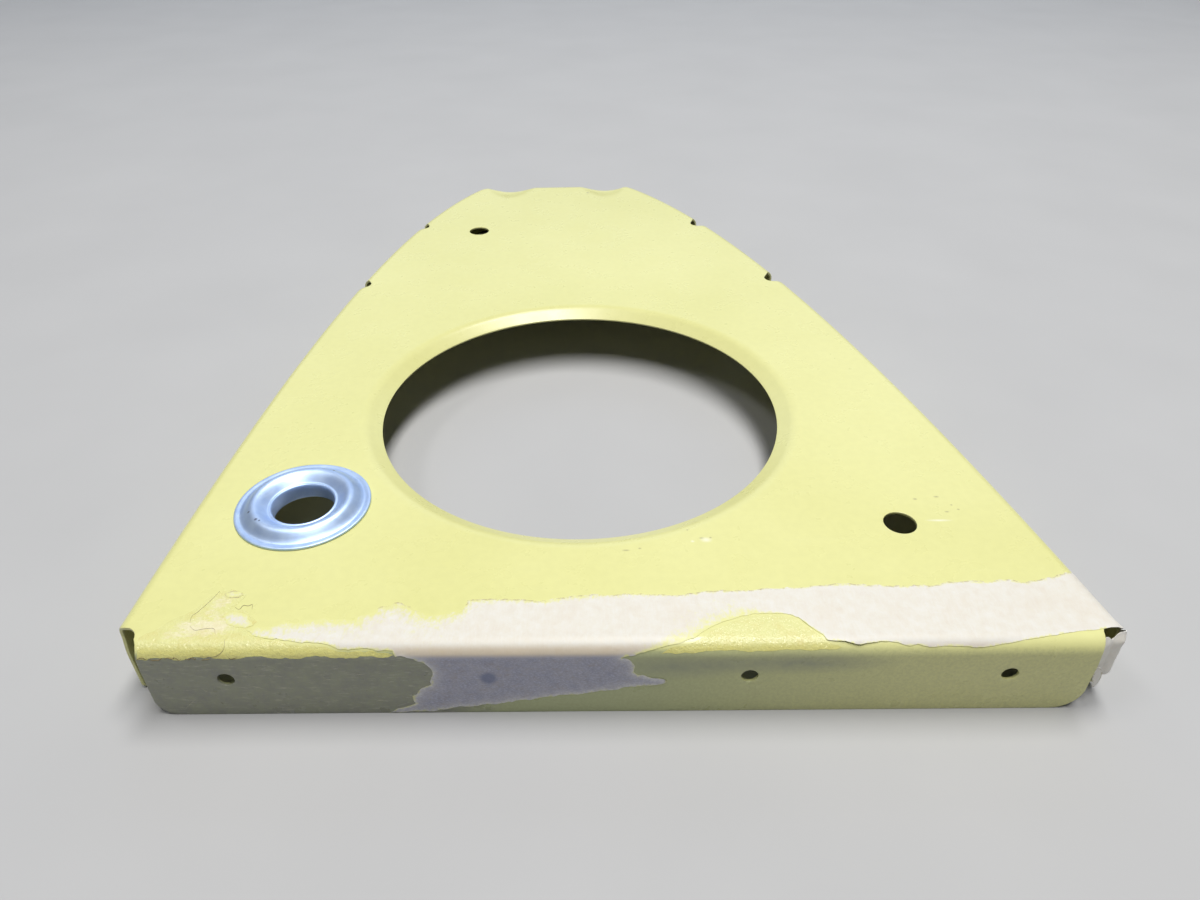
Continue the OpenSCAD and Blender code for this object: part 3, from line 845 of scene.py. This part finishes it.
# ---------------------------------------------------------------------------
# adhesive, scraps, lint, a dirt line that is partly painted shade, and scratches
# ---------------------------------------------------------------------------
res_poly = [(-80.3, -0.4), (-78.4, -1.7), (-76.5, -4.1), (-73.8, -6.1), (-72.7, -7.5), (-71.3, -10.1),
            (-70.1, -10.9), (-68.6, -11.4), (-66.8, -10.8), (-65.5, -10), (-66, -8.4), (-67.3, -6.9),
            (-64.3, -6.2), (-61.6, -3.6), (-62.9, -2.2), (-62.3, -0.9), (-61, -0.05), (-58.7, 0.6),
            (-55.8, 1), (-51.9, 1.3), (-48.7, 1.7), (-45.7, 2.5), (-43.1, 2.4), (-39.1, 2.7), (-37.6, 3.1),
            (-38.5, 3.5), (-42, 3.3), (-44, 3.7), (-47, 3.6), (-49, 3.2), (-52, 3.3), (-54, 3.7), (-57, 3.6),
            (-60, 3.2), (-62, 3.3), (-64, 3.7), (-66, 3.6), (-68, 3.2), (-70, 3.2), (-72, 3.7), (-74, 3.8),
            (-75.5, 3.3), (-77, 3.3), (-78.5, 3.8), (-80.1, 3.7)]


def glue_lift(x, s, g):
    return 0.014 + 0.012 * noise.noise(Vector((x * 0.9, s * 0.9, 1.0))) ** 2


def glue_thin(v):
    """Less haze away from the left end and below the web."""
    x, s = v[:, 0], v[:, 1]
    rim = 0.8 * np.exp(-gap_to(res_poly, v) / 1.6)
    band = 0.45 * np.exp(-((x + 69) / 6) ** 2 - ((s + 2.6) / 1.6) ** 2) + 0.4 * np.exp(-((x + 68.5) / 2.5) ** 2 - ((s + 8.5) / 3) ** 2)
    return np.interp(x, (-79, -68, -60), (0.2, 0.3, 0.85)) + np.interp(s, (-0.5, 2), (0, 0.5)) + rim - band


residue = film_mesh("adhesive_film", rough(res_poly, 0.35, 0.5, 21), 0.42, laid(glue_lift), 0.012, glue_thin)
bay_poly = [(12.9, 1.1), (15.7, -1.2), (18.9, -2.8), (21, -3.7), (23.3, -4.3), (28, -4.3), (29.7, -3.9),
            (30.6, -3.3), (31.7, -1.8), (33, -0.3), (33.8, 0.6), (34.4, 1.5), (37, 2.3), (35, 2.7), (30, 2.6),
            (24, 2.9), (17, 2.7), (10, 3.2), (7, 3.2), (8.2, 2.4), (10.2, 2)]
bay = film_mesh("adhesive_bay", rough(bay_poly, 0.35, 0.4, 23), 0.42, laid(glue_lift), 0.012,
                lambda v: np.interp(v[:, 0], (12, 20), (0.55, 0.95)))
for o in (residue, bay):
    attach(o, "root")

scraps = []
for nm, poly, worn in (
        ("tape_scrap_low", [(-67.9, -5), (-66.8, -5.9), (-65.1, -5.6), (-63.8, -5.1), (-62.4, -3.4),
                            (-62.1, -2.7), (-63.3, -2.2), (-65.3, -2.6), (-66.6, -3.1)], 1.1),
        ("tape_scrap_high", [(-69.4, -10.3), (-68.2, -11), (-66.6, -10.5), (-65.9, -9.9), (-66.6, -9.3),
                             (-68, -9.2), (-69.2, -9.5)], 1.3)):
    fine = rough(poly, 0.2, 0.7, 41)
    scraps.append(film_mesh(nm, fine, 0.36, laid(lambda x, s, g: 0.034 + 0.02 * min(1, g)), 0.035,
                            lambda v, q=poly, k=worn: np.clip(k * np.exp(-gap_to(q, v) / 1.2), 0, 1)))
for o in scraps:
    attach(o, "root")


def strands(name, lines, radius, height, taper=True, sides=5):
    """Fine round threads along the skin."""
    vs, fs = [], []
    for line in lines:
        pl = np.array(spline(line, 7))
        n = len(pl)
        base = len(vs)
        for i, (x, s) in enumerate(pl):
            a, b = pl[max(0, i - 1)], pl[min(n - 1, i + 1)]
            d = b - a
            d = d / max(1e-9, float(np.hypot(*d)))
            r = radius * (0.45 + 0.55 * math.sin(math.pi * (i + 0.6) / (n + 0.2)) if taper else 1.0)
            for k in range(sides):
                g = 2 * math.pi * k / sides
                vs.append(put(on_skin(x - d[1] * r * math.cos(g), s + d[0] * r * math.cos(g),
                                      height + r * math.sin(g))))
        for i in range(n - 1):
            for k in range(sides):
                p0, p1 = base + i * sides + k, base + i * sides + (k + 1) % sides
                fs.append((p0, p1, p1 + sides, p0 + sides))
        fs.append(tuple(base + k for k in reversed(range(sides))))
        fs.append(tuple(base + (n - 1) * sides + k for k in range(sides)))
    me = bpy.data.meshes.new(name)
    me.from_pydata(vs, [], fs)
    bm = bmesh.new()
    bm.from_mesh(me)
    bmesh.ops.recalc_face_normals(bm, faces=bm.faces)
    bm.to_mesh(me)
    bm.free()
    ob = as_object(me, name)
    smooth(ob, 80, False)
    return ob


lint = strands("lint_hairs", [
    [(-70.5, -10.9), (-71, -9.4), (-71.8, -7.5), (-72.6, -5.9), (-73.2, -4.9), (-73, -3.5)],
    [(-72.7, -2.7), (-71.5, -1.8), (-70, -2.1), (-68.5, -2.1), (-67.8, -1)],
    [(-65.8, 0.2), (-65.6, 1.8), (-66.4, 2.8), (-67.5, 3.2), (-69.5, 3.1)],
    [(-66.5, -7), (-65.6, -6.5), (-65.2, -7.4), (-64.3, -7.3), (-63.7, -7.6), (-63.4, -6.5)]], 0.035, 0.05)
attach(lint, "root")
marks = strands("scratch_marks", [
    [(-76.3, 17.2), (-75.2, 16.1), (-74, 14.8), (-72.4, 13.2)], [(-71.7, 10.7), (-71, 11.6), (-70.5, 12.2)],
    [(-63.5, 10.6), (-62.1, 10.8), (-60.5, 11.6)], [(-59.8, 17.6), (-57.8, 17), (-55.7, 16.9)],
    [(-42.4, 15), (-41.4, 14.7), (-39.8, 14.9)], [(-34.9, 12.3), (-33.9, 12)],
    [(-36.4, 13.6), (-35.4, 13.3), (-35.1, 14)], [(-50.6, 9.4), (-49.4, 9.1), (-48.2, 9.3)],
    [(-45.1, 7.4), (-44, 7.8), (-42.7, 7.7)], [(-39.6, 9.9), (-38.2, 9.6)]], 0.06, -0.035)
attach(marks, "root")
# dark brown crumbs along the foot of the bend: dirt, and partly painted shade for the dark line where the bend turns
# down into the flange
crumbs = []
rnd = random.Random(77)
for x0, x1 in ((-80.1, -78.4), (-78.1, -75.9), (-75.5, -72.8), (-72.2, -70.3), (-69.4, -67.9), (-64.9, -63.4)):
    line, x = [], x0
    while x < x1:
        line.append((x, 3.55 + rnd.uniform(-0.3, 0.3)))
        x += rnd.uniform(0.35, 0.6)
    line.append((x1, 3.55 + rnd.uniform(-0.16, 0.16)))
    crumbs.append(line)
dirt_and_shade = strands("dirt_and_shade_line", crumbs, 0.085, 0.0)
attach(dirt_and_shade, "root")

# ---------------------------------------------------------------------------
# materials
# ---------------------------------------------------------------------------
class Nodes:
    def __init__(self, name):
        self.mat = bpy.data.materials.new(name)
        self.mat.use_nodes = True
        self.t = self.mat.node_tree
        self.t.nodes.clear()
        self.out = self.t.nodes.new("ShaderNodeOutputMaterial")
        self.bsdf = self.t.nodes.new("ShaderNodeBsdfPrincipled")
        self.t.links.new(self.bsdf.outputs[0], self.out.inputs[0])
        tc = self.t.nodes.new("ShaderNodeTexCoord")
        mp = self.t.nodes.new("ShaderNodeMapping")
        mp.inputs["Scale"].default_value = (1000, 1000, 1000)
        self.t.links.new(tc.outputs["Object"], mp.inputs["Vector"])
        self.mm = mp.outputs[0]
        sp = self.t.nodes.new("ShaderNodeSeparateXYZ")
        self.t.links.new(self.mm, sp.inputs[0])
        self.x, self.y, self.z = sp.outputs

    def set(self, **kw):
        for k, v in kw.items():
            self.bsdf.inputs[k.replace("_", " ")].default_value = v

    def link(self, a, b):
        self.t.links.new(a, b)

    def mapped(self, vec, scale=(1, 1, 1), loc=(0, 0, 0), rot=(0, 0, 0)):
        m = self.t.nodes.new("ShaderNodeMapping")
        m.inputs["Scale"].default_value = scale
        m.inputs["Location"].default_value = loc
        m.inputs["Rotation"].default_value = rot
        self.link(vec, m.inputs["Vector"])
        return m.outputs[0]

    def noise(self, vec, scale, detail=2.0, rough=0.5, distort=0.0):
        n = self.t.nodes.new("ShaderNodeTexNoise")
        n.inputs["Scale"].default_value = scale
        n.inputs["Detail"].default_value = detail
        n.inputs["Roughness"].default_value = rough
        n.inputs["Distortion"].default_value = distort
        self.link(vec, n.inputs["Vector"])
        return n.outputs["Fac"]

    def blob(self, at, size):
        """1 at a place in mm, falling to 0 at the given radii."""
        g = self.t.nodes.new("ShaderNodeTexGradient")
        g.gradient_type = "SPHERICAL"
        v = self.mapped(self.mm, [1 / q for q in size], [-c / q for c, q in zip(at, size)])
        self.link(v, g.inputs["Vector"])
        return g.outputs["Fac"]

    def span(self, val, a, b):
        """0 at a, 1 at b, smooth between."""
        m = self.t.nodes.new("ShaderNodeMapRange")
        m.interpolation_type = "SMOOTHSTEP"
        m.inputs["From Min"].default_value = a
        m.inputs["From Max"].default_value = b
        self.link(val, m.inputs["Value"])
        return m.outputs["Result"]

    def ramp(self, fac, stops, interp="LINEAR"):
        r = self.t.nodes.new("ShaderNodeValToRGB")
        cr = r.color_ramp
        cr.interpolation = interp
        while len(cr.elements) < len(stops):
            cr.elements.new(0.5)
        for e, (p, c) in zip(cr.elements, stops):
            e.position = p
            e.color = (c, c, c, 1) if isinstance(c, (int, float)) else (*c, 1)
        self.link(fac, r.inputs["Fac"])
        return r.outputs["Color"]

    def mix(self, fac, a, b, mode="MIX"):
        m = self.t.nodes.new("ShaderNodeMix")
        m.data_type = "RGBA"
        m.blend_type = mode
        for sock, val in ((m.inputs[0], fac), (m.inputs[6], a), (m.inputs[7], b)):
            if hasattr(val, "is_linked"):
                self.link(val, sock)
            elif isinstance(val, (int, float)):
                sock.default_value = val
            else:
                sock.default_value = (*val, 1)
        return m.outputs[2]

    def math(self, op, a, b=None, clamp=False):
        m = self.t.nodes.new("ShaderNodeMath")
        m.operation = op
        m.use_clamp = clamp
        for sock, val in ((m.inputs[0], a), (m.inputs[1], b)):
            if val is None:
                continue
            if hasattr(val, "is_linked"):
                self.link(val, sock)
            else:
                sock.default_value = val
        return m.outputs[0]

    def mul(self, *vals):
        out = vals[0]
        for v in vals[1:]:
            out = self.math("MULTIPLY", out, v)
        return out

    def attr(self, name):
        a = self.t.nodes.new("ShaderNodeAttribute")
        a.attribute_name = name
        return a.outputs["Fac"]

    def bump(self, height, dist, strength=1.0, under=None):
        b = self.t.nodes.new("ShaderNodeBump")
        b.inputs["Strength"].default_value = strength
        b.inputs["Distance"].default_value = dist
        self.link(height, b.inputs["Height"])
        if under is not None:
            self.link(under, b.inputs["Normal"])
        return b.outputs[0]


def row(x, y, z):
    return (x - MX, y - MY, z + H)


def paint_colour(n):
    """Pale yellow primer with slow tint drift, fine speckle and faint rubbed streaks."""
    slow = n.noise(n.mm, 0.022, 3, 0.55)
    col = n.ramp(slow, [(0.3, (0.690, 0.680, 0.290)), (0.7, (0.732, 0.722, 0.330))])
    fine = n.ramp(n.noise(n.mm, 0.6, 2, 0.5), [(0.35, 0.975), (0.65, 1.0)])
    col = n.mix(1.0, col, fine, "MULTIPLY")
    rub = n.noise(n.mapped(n.mm, (0.03, 0.5, 0.3), rot=(0, 0, 0.5)), 1.0, 4, 0.65)
    rub = n.ramp(rub, [(0.6, 0.0), (0.78, 0.10)])
    return n.mix(rub, col, (0.78, 0.78, 0.47))


# primer
n = Nodes("primer_yellow")
col = paint_colour(n)
# the spar flange is duller and greener towards the left: painted shade, standing in for light that falls off from right
# to left across the flange
front = n.span(n.y, -112.3, -112.8)
col = n.mix(n.mul(front, n.span(n.x, 60.0, -12.0)), col, (0.475, 0.512, 0.278))
# grey film of old adhesive on the left half of the spar flange
cloud = n.noise(n.mapped(n.mm, (1, 1, 1.6)), 0.16, 5, 0.62)
fx = n.span(n.math("ADD", n.x, n.math("MULTIPLY", cloud, 16.0)), -13.0, -22.0)
ragged = n.math("MULTIPLY", n.noise(n.mapped(n.mm, (1.0, 0.2, 0.5)), 0.7, 6, 0.75), 2.6)
face = n.mul(n.span(n.y, -112.45, -112.80), n.span(n.math("ADD", n.z, ragged), 16.6, 15.9))
mott = n.ramp(n.noise(n.mm, 0.5, 4, 0.7), [(0.3, 0.62), (0.7, 0.92)])
col = n.mix(n.mul(fx, face, mott), col, (0.224, 0.225, 0.215))
streak = n.ramp(n.noise(n.mapped(n.mm, (0.55, 1, 2.6), rot=(0, 0.45, 0)), 0.9, 5, 0.7), [(0.55, 0.0), (0.70, 0.55)])
col = n.mix(n.mul(fx, face, streak), col, (0.60, 0.58, 0.46))
# grain of the paint on the spar flange
grain = n.ramp(n.noise(n.mm, 1.7, 3, 0.65), [(0.36, 0.0), (0.64, 0.24)])
col = n.mix(n.mul(front, grain), col, (0.33, 0.34, 0.17))
# smudge beside the third rivet hole
smudge = n.math("ADD", n.blob(row(30, 0.0, -4.2), (18, 3, 3.0)), n.blob(row(10, 0.0, -4.8), (14, 3, 3.6)), True)
smudge = n.mul(smudge, n.ramp(n.noise(n.mapped(n.mm, (0.6, 1, 0.9)), 0.9, 6, 0.75), [(0.32, 0.6), (0.62, 1.0)]))
col = n.mix(n.math("MULTIPLY", smudge, 1.0, True), col, (0.33, 0.345, 0.24))
# small dark specks and pale rubs on the web
for at, size in (((60.5, 38.2, 0), (0.55, 0.4, 1)), ((65.0, 38.9, 0), (0.7, 0.35, 1)), ((67.2, 36.3, 0), (0.3, 0.3, 1)),
                 ((68.1, 34.9, 0), (0.4, 0.3, 1)), ((65.6, 34.2, 0), (0.6, 0.3, 1)), ((1.8, 23.6, 0), (0.9, 0.3, 1)),
                 ((4.4, 24.1, 0), (0.4, 0.3, 1)), ((13.8, 29.3, 0), (0.3, 0.3, 1)), ((16.3, 26.9, 0), (0.6, 0.3, 1)),
                 ((18.0, 27.0, 0), (0.35, 0.3, 1)), ((-5.8, 217.0, 0), (0.6, 0.9, 1))):
    col = n.mix(n.math("MULTIPLY", n.blob(row(*at), size), 0.8, True), col, (0.33, 0.30, 0.17))
for at, size in (((63.2, 31.6, 0), (3.0, 0.4, 1)), ((17.1, 26.4, 0), (1.3, 0.9, 1)), ((14.5, 26.0, 0), (0.5, 0.4, 1))):
    col = n.mix(n.math("MULTIPLY", n.blob(row(*at), size), 0.9, True), col, (0.84, 0.83, 0.66))
n.link(col, n.bsdf.inputs["Base Color"])
rgh = n.ramp(n.noise(n.mm, 0.12, 4, 0.6), [(0.3, 0.25), (0.7, 0.33)])
n.link(rgh, n.bsdf.inputs["Roughness"])
n.set(Specular_IOR_Level=0.5)
n.link(n.bump(n.noise(n.mm, 0.4, 2, 0.5), 0.00005, 0.10), n.bsdf.inputs["Normal"])
rib.data.materials.clear()
rib.data.materials.append(n.mat)

# spun aluminium, with a painted blue reflection in its base colour
n = Nodes("aluminium_spun")
loc = ((MX - GROM[0]), (MY - GROM[1]), 0.0)
cen = n.mapped(n.mm, loc=loc)
wv = n.t.nodes.new("ShaderNodeTexWave")
wv.wave_type = "RINGS"
wv.rings_direction = "Z"
wv.inputs["Scale"].default_value = 2.1
wv.inputs["Distortion"].default_value = 1.6
wv.inputs["Detail"].default_value = 3.0
wv.inputs["Detail Scale"].default_value = 0.35
n.link(cen, wv.inputs["Vector"])
cloud = n.noise(n.mm, 0.4, 4, 0.6)
# painted reflection: the blue of the base colour stands in for blue surroundings mirrored in the metal
col = n.ramp(cloud, [(0.3, (0.50, 0.66, 0.97)), (0.7, (0.60, 0.75, 1.0))])
for at, size in (((-69.0, 30.6, 2), (0.45, 0.4, 2)), ((-68.2, 30.2, 2), (0.3, 0.3, 2)), ((-71.2, 33.0, 2), (0.35, 0.3, 2)),
                 ((-66.6, 47.0, 2), (0.3, 0.4, 2)), ((-57.8, 46.2, 2), (0.3, 0.4, 2))):
    col = n.mix(n.math("MULTIPLY", n.blob(row(*at), size), 1.4, True), col, (0.16, 0.19, 0.30))
n.link(col, n.bsdf.inputs["Base Color"])
n.link(n.ramp(cloud, [(0.25, 0.44), (0.75, 0.52)]), n.bsdf.inputs["Roughness"])
n.set(Metallic=0.75)
b1 = n.bump(wv.outputs["Fac"], 0.00001, 0.12)
b2 = n.bump(n.noise(n.mm, 1.3, 3, 0.6), 0.00003, 0.10, b1)
n.link(b2, n.bsdf.inputs["Normal"])
grommet.data.materials.clear()
grommet.data.materials.append(n.mat)

# paper tape, worn to a haze over the paint where it is thin
def paper(name, gain):
    def c(r, g, b):
        return (r * gain, g * gain, b * gain)
    n = Nodes(name)
    mott = n.noise(n.mm, 0.55, 5, 0.68, 0.3)
    col = n.ramp(mott, [(0.25, c(0.745, 0.690, 0.600)), (0.5, c(0.775, 0.740, 0.655)), (0.75, c(0.800, 0.785, 0.735))])
    fib = n.noise(n.mapped(n.mm, (2.4, 0.5, 1.4)), 1.0, 4, 0.7)
    col = n.mix(n.ramp(fib, [(0.45, 0.0), (0.7, 0.5)]), col, c(0.81, 0.79, 0.75))
    stain = n.ramp(n.noise(n.mm, 0.13, 4, 0.6), [(0.5, 0.0), (0.75, 0.30)])
    col = n.mix(stain, col, c(0.745, 0.66, 0.54))
    # browner on the lower half of the bend; greyer on the flange, where the grey-blue tone is painted shade tinted blue
    # as by bounced light
    brown = n.mul(n.span(n.attr("down"), 1.3, 2.5), n.span(n.attr("down"), 4.3, 3.2))
    col = n.mix(n.math("MULTIPLY", brown, 0.5), col, (0.60, 0.46, 0.29))
    # painted shade: cream paper turned grey-blue where the skin faces away from the light
    grey = n.mul(n.span(n.attr("down"), 2.9, 4.0), n.ramp(mott, [(0.3, 0.70), (0.7, 0.98)]))
    col = n.mix(grey, col, (0.300, 0.305, 0.405))
    # pale bluish flecks within the painted shade on the flange
    low = n.span(n.attr("down"), 3.3, 4.3)
    pale = n.ramp(n.noise(n.mapped(n.mm, (1.1, 1, 2.4), rot=(0, 0.35, 0)), 1.9, 6, 0.75), [(0.47, 0.0), (0.61, 0.85)])
    col = n.mix(n.mul(low, pale), col, (0.52, 0.535, 0.65))
    tan = n.ramp(n.noise(n.mapped(n.mm, (0.8, 1, 1.5)), 0.8, 6, 0.75), [(0.52, 0.0), (0.68, 0.6)])
    col = n.mix(n.mul(low, tan), col, (0.35, 0.30, 0.30))
    torn = n.ramp(n.noise(n.mm, 1.3, 5, 0.7), [(0.40, 0.15), (0.60, 1.0)])
    col = n.mix(n.mul(n.attr("rim"), low, torn), col, (0.74, 0.72, 0.70))
    col = n.mix(n.math("MULTIPLY", n.attr("rim"), 0.45), col, c(0.82, 0.81, 0.79))
    # painted shade: dark bluish dot where the paper spans the second rivet hole, for the hole's darkness showing
    # through the paper
    dot = n.math("MULTIPLY", n.blob(row(-22.225, 0, -RIVET_DROP), (1.75, 4, 1.75)), 2.2, True)
    col = n.mix(n.math("MULTIPLY", dot, 0.75), col, (0.16, 0.19, 0.31))
    # the paint shows through where only a haze of fibres is left
    fray = n.noise(n.mapped(n.mm, (1.5, 1.0, 1.0)), 0.9, 7, 0.72, 0.4)
    fray = n.math("MULTIPLY", n.math("SUBTRACT", fray, 0.5), 2.2)
    bare = n.span(n.math("ADD", n.attr("thin"), fray), 0.25, 1.0)
    col = n.mix(bare, col, paint_colour(n))
    # dirt caught along the upper edge, together with painted shade for the thin shadow line under the tape's edge
    soil_and_edge_shade = n.mul(n.span(n.attr("rim"), 0.55, 0.90), n.span(n.attr("down"), -5.0, -8.0),
                 n.ramp(n.noise(n.mapped(n.mm, (0.7, 1, 1)), 1.2, 5, 0.75), [(0.46, 0.0), (0.58, 0.85)]))
    col = n.mix(soil_and_edge_shade, col, (0.43, 0.36, 0.21))
    n.link(col, n.bsdf.inputs["Base Color"])
    n.link(n.ramp(mott, [(0.3, 0.36), (0.7, 0.55)]), n.bsdf.inputs["Roughness"])
    n.set(Specular_IOR_Level=0.42)
    b1 = n.bump(n.noise(n.mapped(n.mm, (2.6, 0.8, 0.8)), 1.0, 4, 0.65), 0.0001, 0.3)
    b2 = n.bump(n.noise(n.mm, 6.0, 3, 0.6), 0.00003, 0.3, b1)
    n.link(b2, n.bsdf.inputs["Normal"])
    return n.mat


# painted light: the crumpled tab and flap take a brighter copy of the paper (gain 1.06 against 0.90 for the strip), for
# the light they catch from the side and let through
paper_strip, paper_end_painted_light = paper("crepe_paper", 0.90), paper("crepe_paper_end", 1.06)
for o, m in [(tape, paper_strip), (tab, paper_end_painted_light), (flap, paper_end_painted_light)] + [(q, paper_strip) for q in scraps]:
    o.data.materials.clear()
    o.data.materials.append(m)

# glossy adhesive film on paint
n = Nodes("adhesive_gloss")
base = paint_colour(n)
web1 = n.noise(n.mapped(n.mm, (0.9, 1.6, 1.3), rot=(0, 0, 0.35)), 0.9, 6, 0.72, 0.8)
haze = n.math("SUBTRACT", n.math("MULTIPLY", web1, 2.0), n.attr("thin"))
white = n.mul(n.span(haze, 0.45, 1.15), n.math("SUBTRACT", 1.0, n.attr("rim"), True))
col = n.mix(n.math("MULTIPLY", white, 0.62), base, (0.83, 0.75, 0.60))
ooze = n.ramp(n.noise(n.mm, 0.35, 4, 0.65), [(0.48, 0.0), (0.75, 0.5)])
col = n.mix(ooze, col, (0.66, 0.56, 0.20))
deep = n.mul(n.span(n.attr("down"), 0.8, 2.6), n.ramp(web1, [(0.3, 0.75), (0.7, 0.35)]))
col = n.mix(deep, col, (0.74, 0.68, 0.20))
n.link(col, n.bsdf.inputs["Base Color"])
n.link(n.ramp(web1, [(0.3, 0.12), (0.7, 0.30)]), n.bsdf.inputs["Roughness"])
n.set(Specular_IOR_Level=0.55)
b1 = n.bump(n.noise(n.mm, 1.5, 4, 0.65), 0.0003, 0.6)
b2 = n.bump(web1, 0.00015, 0.3, b1)
n.link(b2, n.bsdf.inputs["Normal"])
for o in (residue, bay):
    o.data.materials.clear()
    o.data.materials.append(n.mat)

# lint, dirt-and-shade line and scratch tones
for nm, ob, dark, light, rr_ in (("lint_brown", lint, (0.20, 0.16, 0.11), (0.34, 0.28, 0.19), 0.6),
                                 ("dirt_and_shade_brown", dirt_and_shade, (0.15, 0.11, 0.05), (0.36, 0.28, 0.12), 0.75),
                                 ("scratch_pale", marks, (0.40, 0.39, 0.30), (0.62, 0.59, 0.44), 0.5)):
    n = Nodes(nm)
    k = n.noise(n.mm, 1.4, 4, 0.7)
    n.link(n.ramp(k, [(0.3, dark), (0.7, light)]), n.bsdf.inputs["Base Color"])
    n.link(n.ramp(k, [(0.3, rr_ - 0.1), (0.7, rr_ + 0.1)]), n.bsdf.inputs["Roughness"])
    n.link(n.bump(n.noise(n.mm, 5.0, 3, 0.6), 0.00003, 0.4), n.bsdf.inputs["Normal"])
    ob.data.materials.clear()
    ob.data.materials.append(n.mat)

# ---------------------------------------------------------------------------
# floor, light, camera
# ---------------------------------------------------------------------------
me = bpy.data.meshes.new("floor")
me.from_pydata([(-4, -3, 0), (4, -3, 0), (4, 6, 0), (-4, 6, 0)], [], [(0, 1, 2, 3)])
floor = as_object(me, "floor")
n = Nodes("floor_pale")
n.link(n.ramp(n.noise(n.mm, 0.02, 3, 0.5), [(0.3, (0.452, 0.454, 0.460)), (0.7, (0.470, 0.472, 0.478))]),
       n.bsdf.inputs["Base Color"])
n.set(Roughness=0.7, Specular_IOR_Level=0.2)
me.materials.append(n.mat)

world = bpy.data.worlds.new("studio")
world.use_nodes = True
bg = world.node_tree.nodes["Background"]
bg.inputs["Color"].default_value = (0.62, 0.74, 1.0, 1)
bg.inputs["Strength"].default_value = 0.065
bpy.context.scene.world = world


def area(name, loc, target, size, energy, colour=(1, 1, 1)):
    d = bpy.data.lights.new(name, "AREA")
    d.shape = "RECTANGLE"
    d.size, d.size_y = size
    d.energy = energy
    d.color = colour
    o = bpy.data.objects.new(name, d)
    bpy.context.scene.collection.objects.link(o)
    o.location = loc
    o.rotation_mode = "QUATERNION"
    o.rotation_quaternion = (Vector(target) - Vector(loc)).to_track_quat("-Z", "Y")
    return o


area("overhead", (0.16, -0.05, 1.5), (0.0, -0.02, 0), (1.30, 0.36), 28.0, (1.0, 0.985, 0.955))
area("overhead_left", (-0.80, -0.03, 1.42), (0.0, -0.02, 0), (0.55, 0.30), 3.4, (1.0, 0.985, 0.955))
area("back_panel", (0.0, 1.5, 0.80), (0.0, 0.0, 0), (2.4, 0.9), 5.6, (0.62, 0.78, 1.0))

cam = bpy.data.cameras.new("camera")
cam.sensor_fit = "HORIZONTAL"
cam.sensor_width = 36.0
cam.lens = 25.8
cam.clip_start, cam.clip_end = 0.004, 20
co = bpy.data.objects.new("camera", cam)
bpy.context.scene.collection.objects.link(co)
right, up, back = (0.999958, -0.009192, 0.0), (0.005405, 0.587955, 0.808875), (-0.007435, -0.808841, 0.587980)
rot = Matrix((right, up, back)).transposed().to_4x4()
co.matrix_world = Matrix.Translation((-0.004358, -0.208558, 0.126386)) @ rot
bpy.context.scene.camera = co
bpy.context.scene.view_settings.view_transform = "Standard"
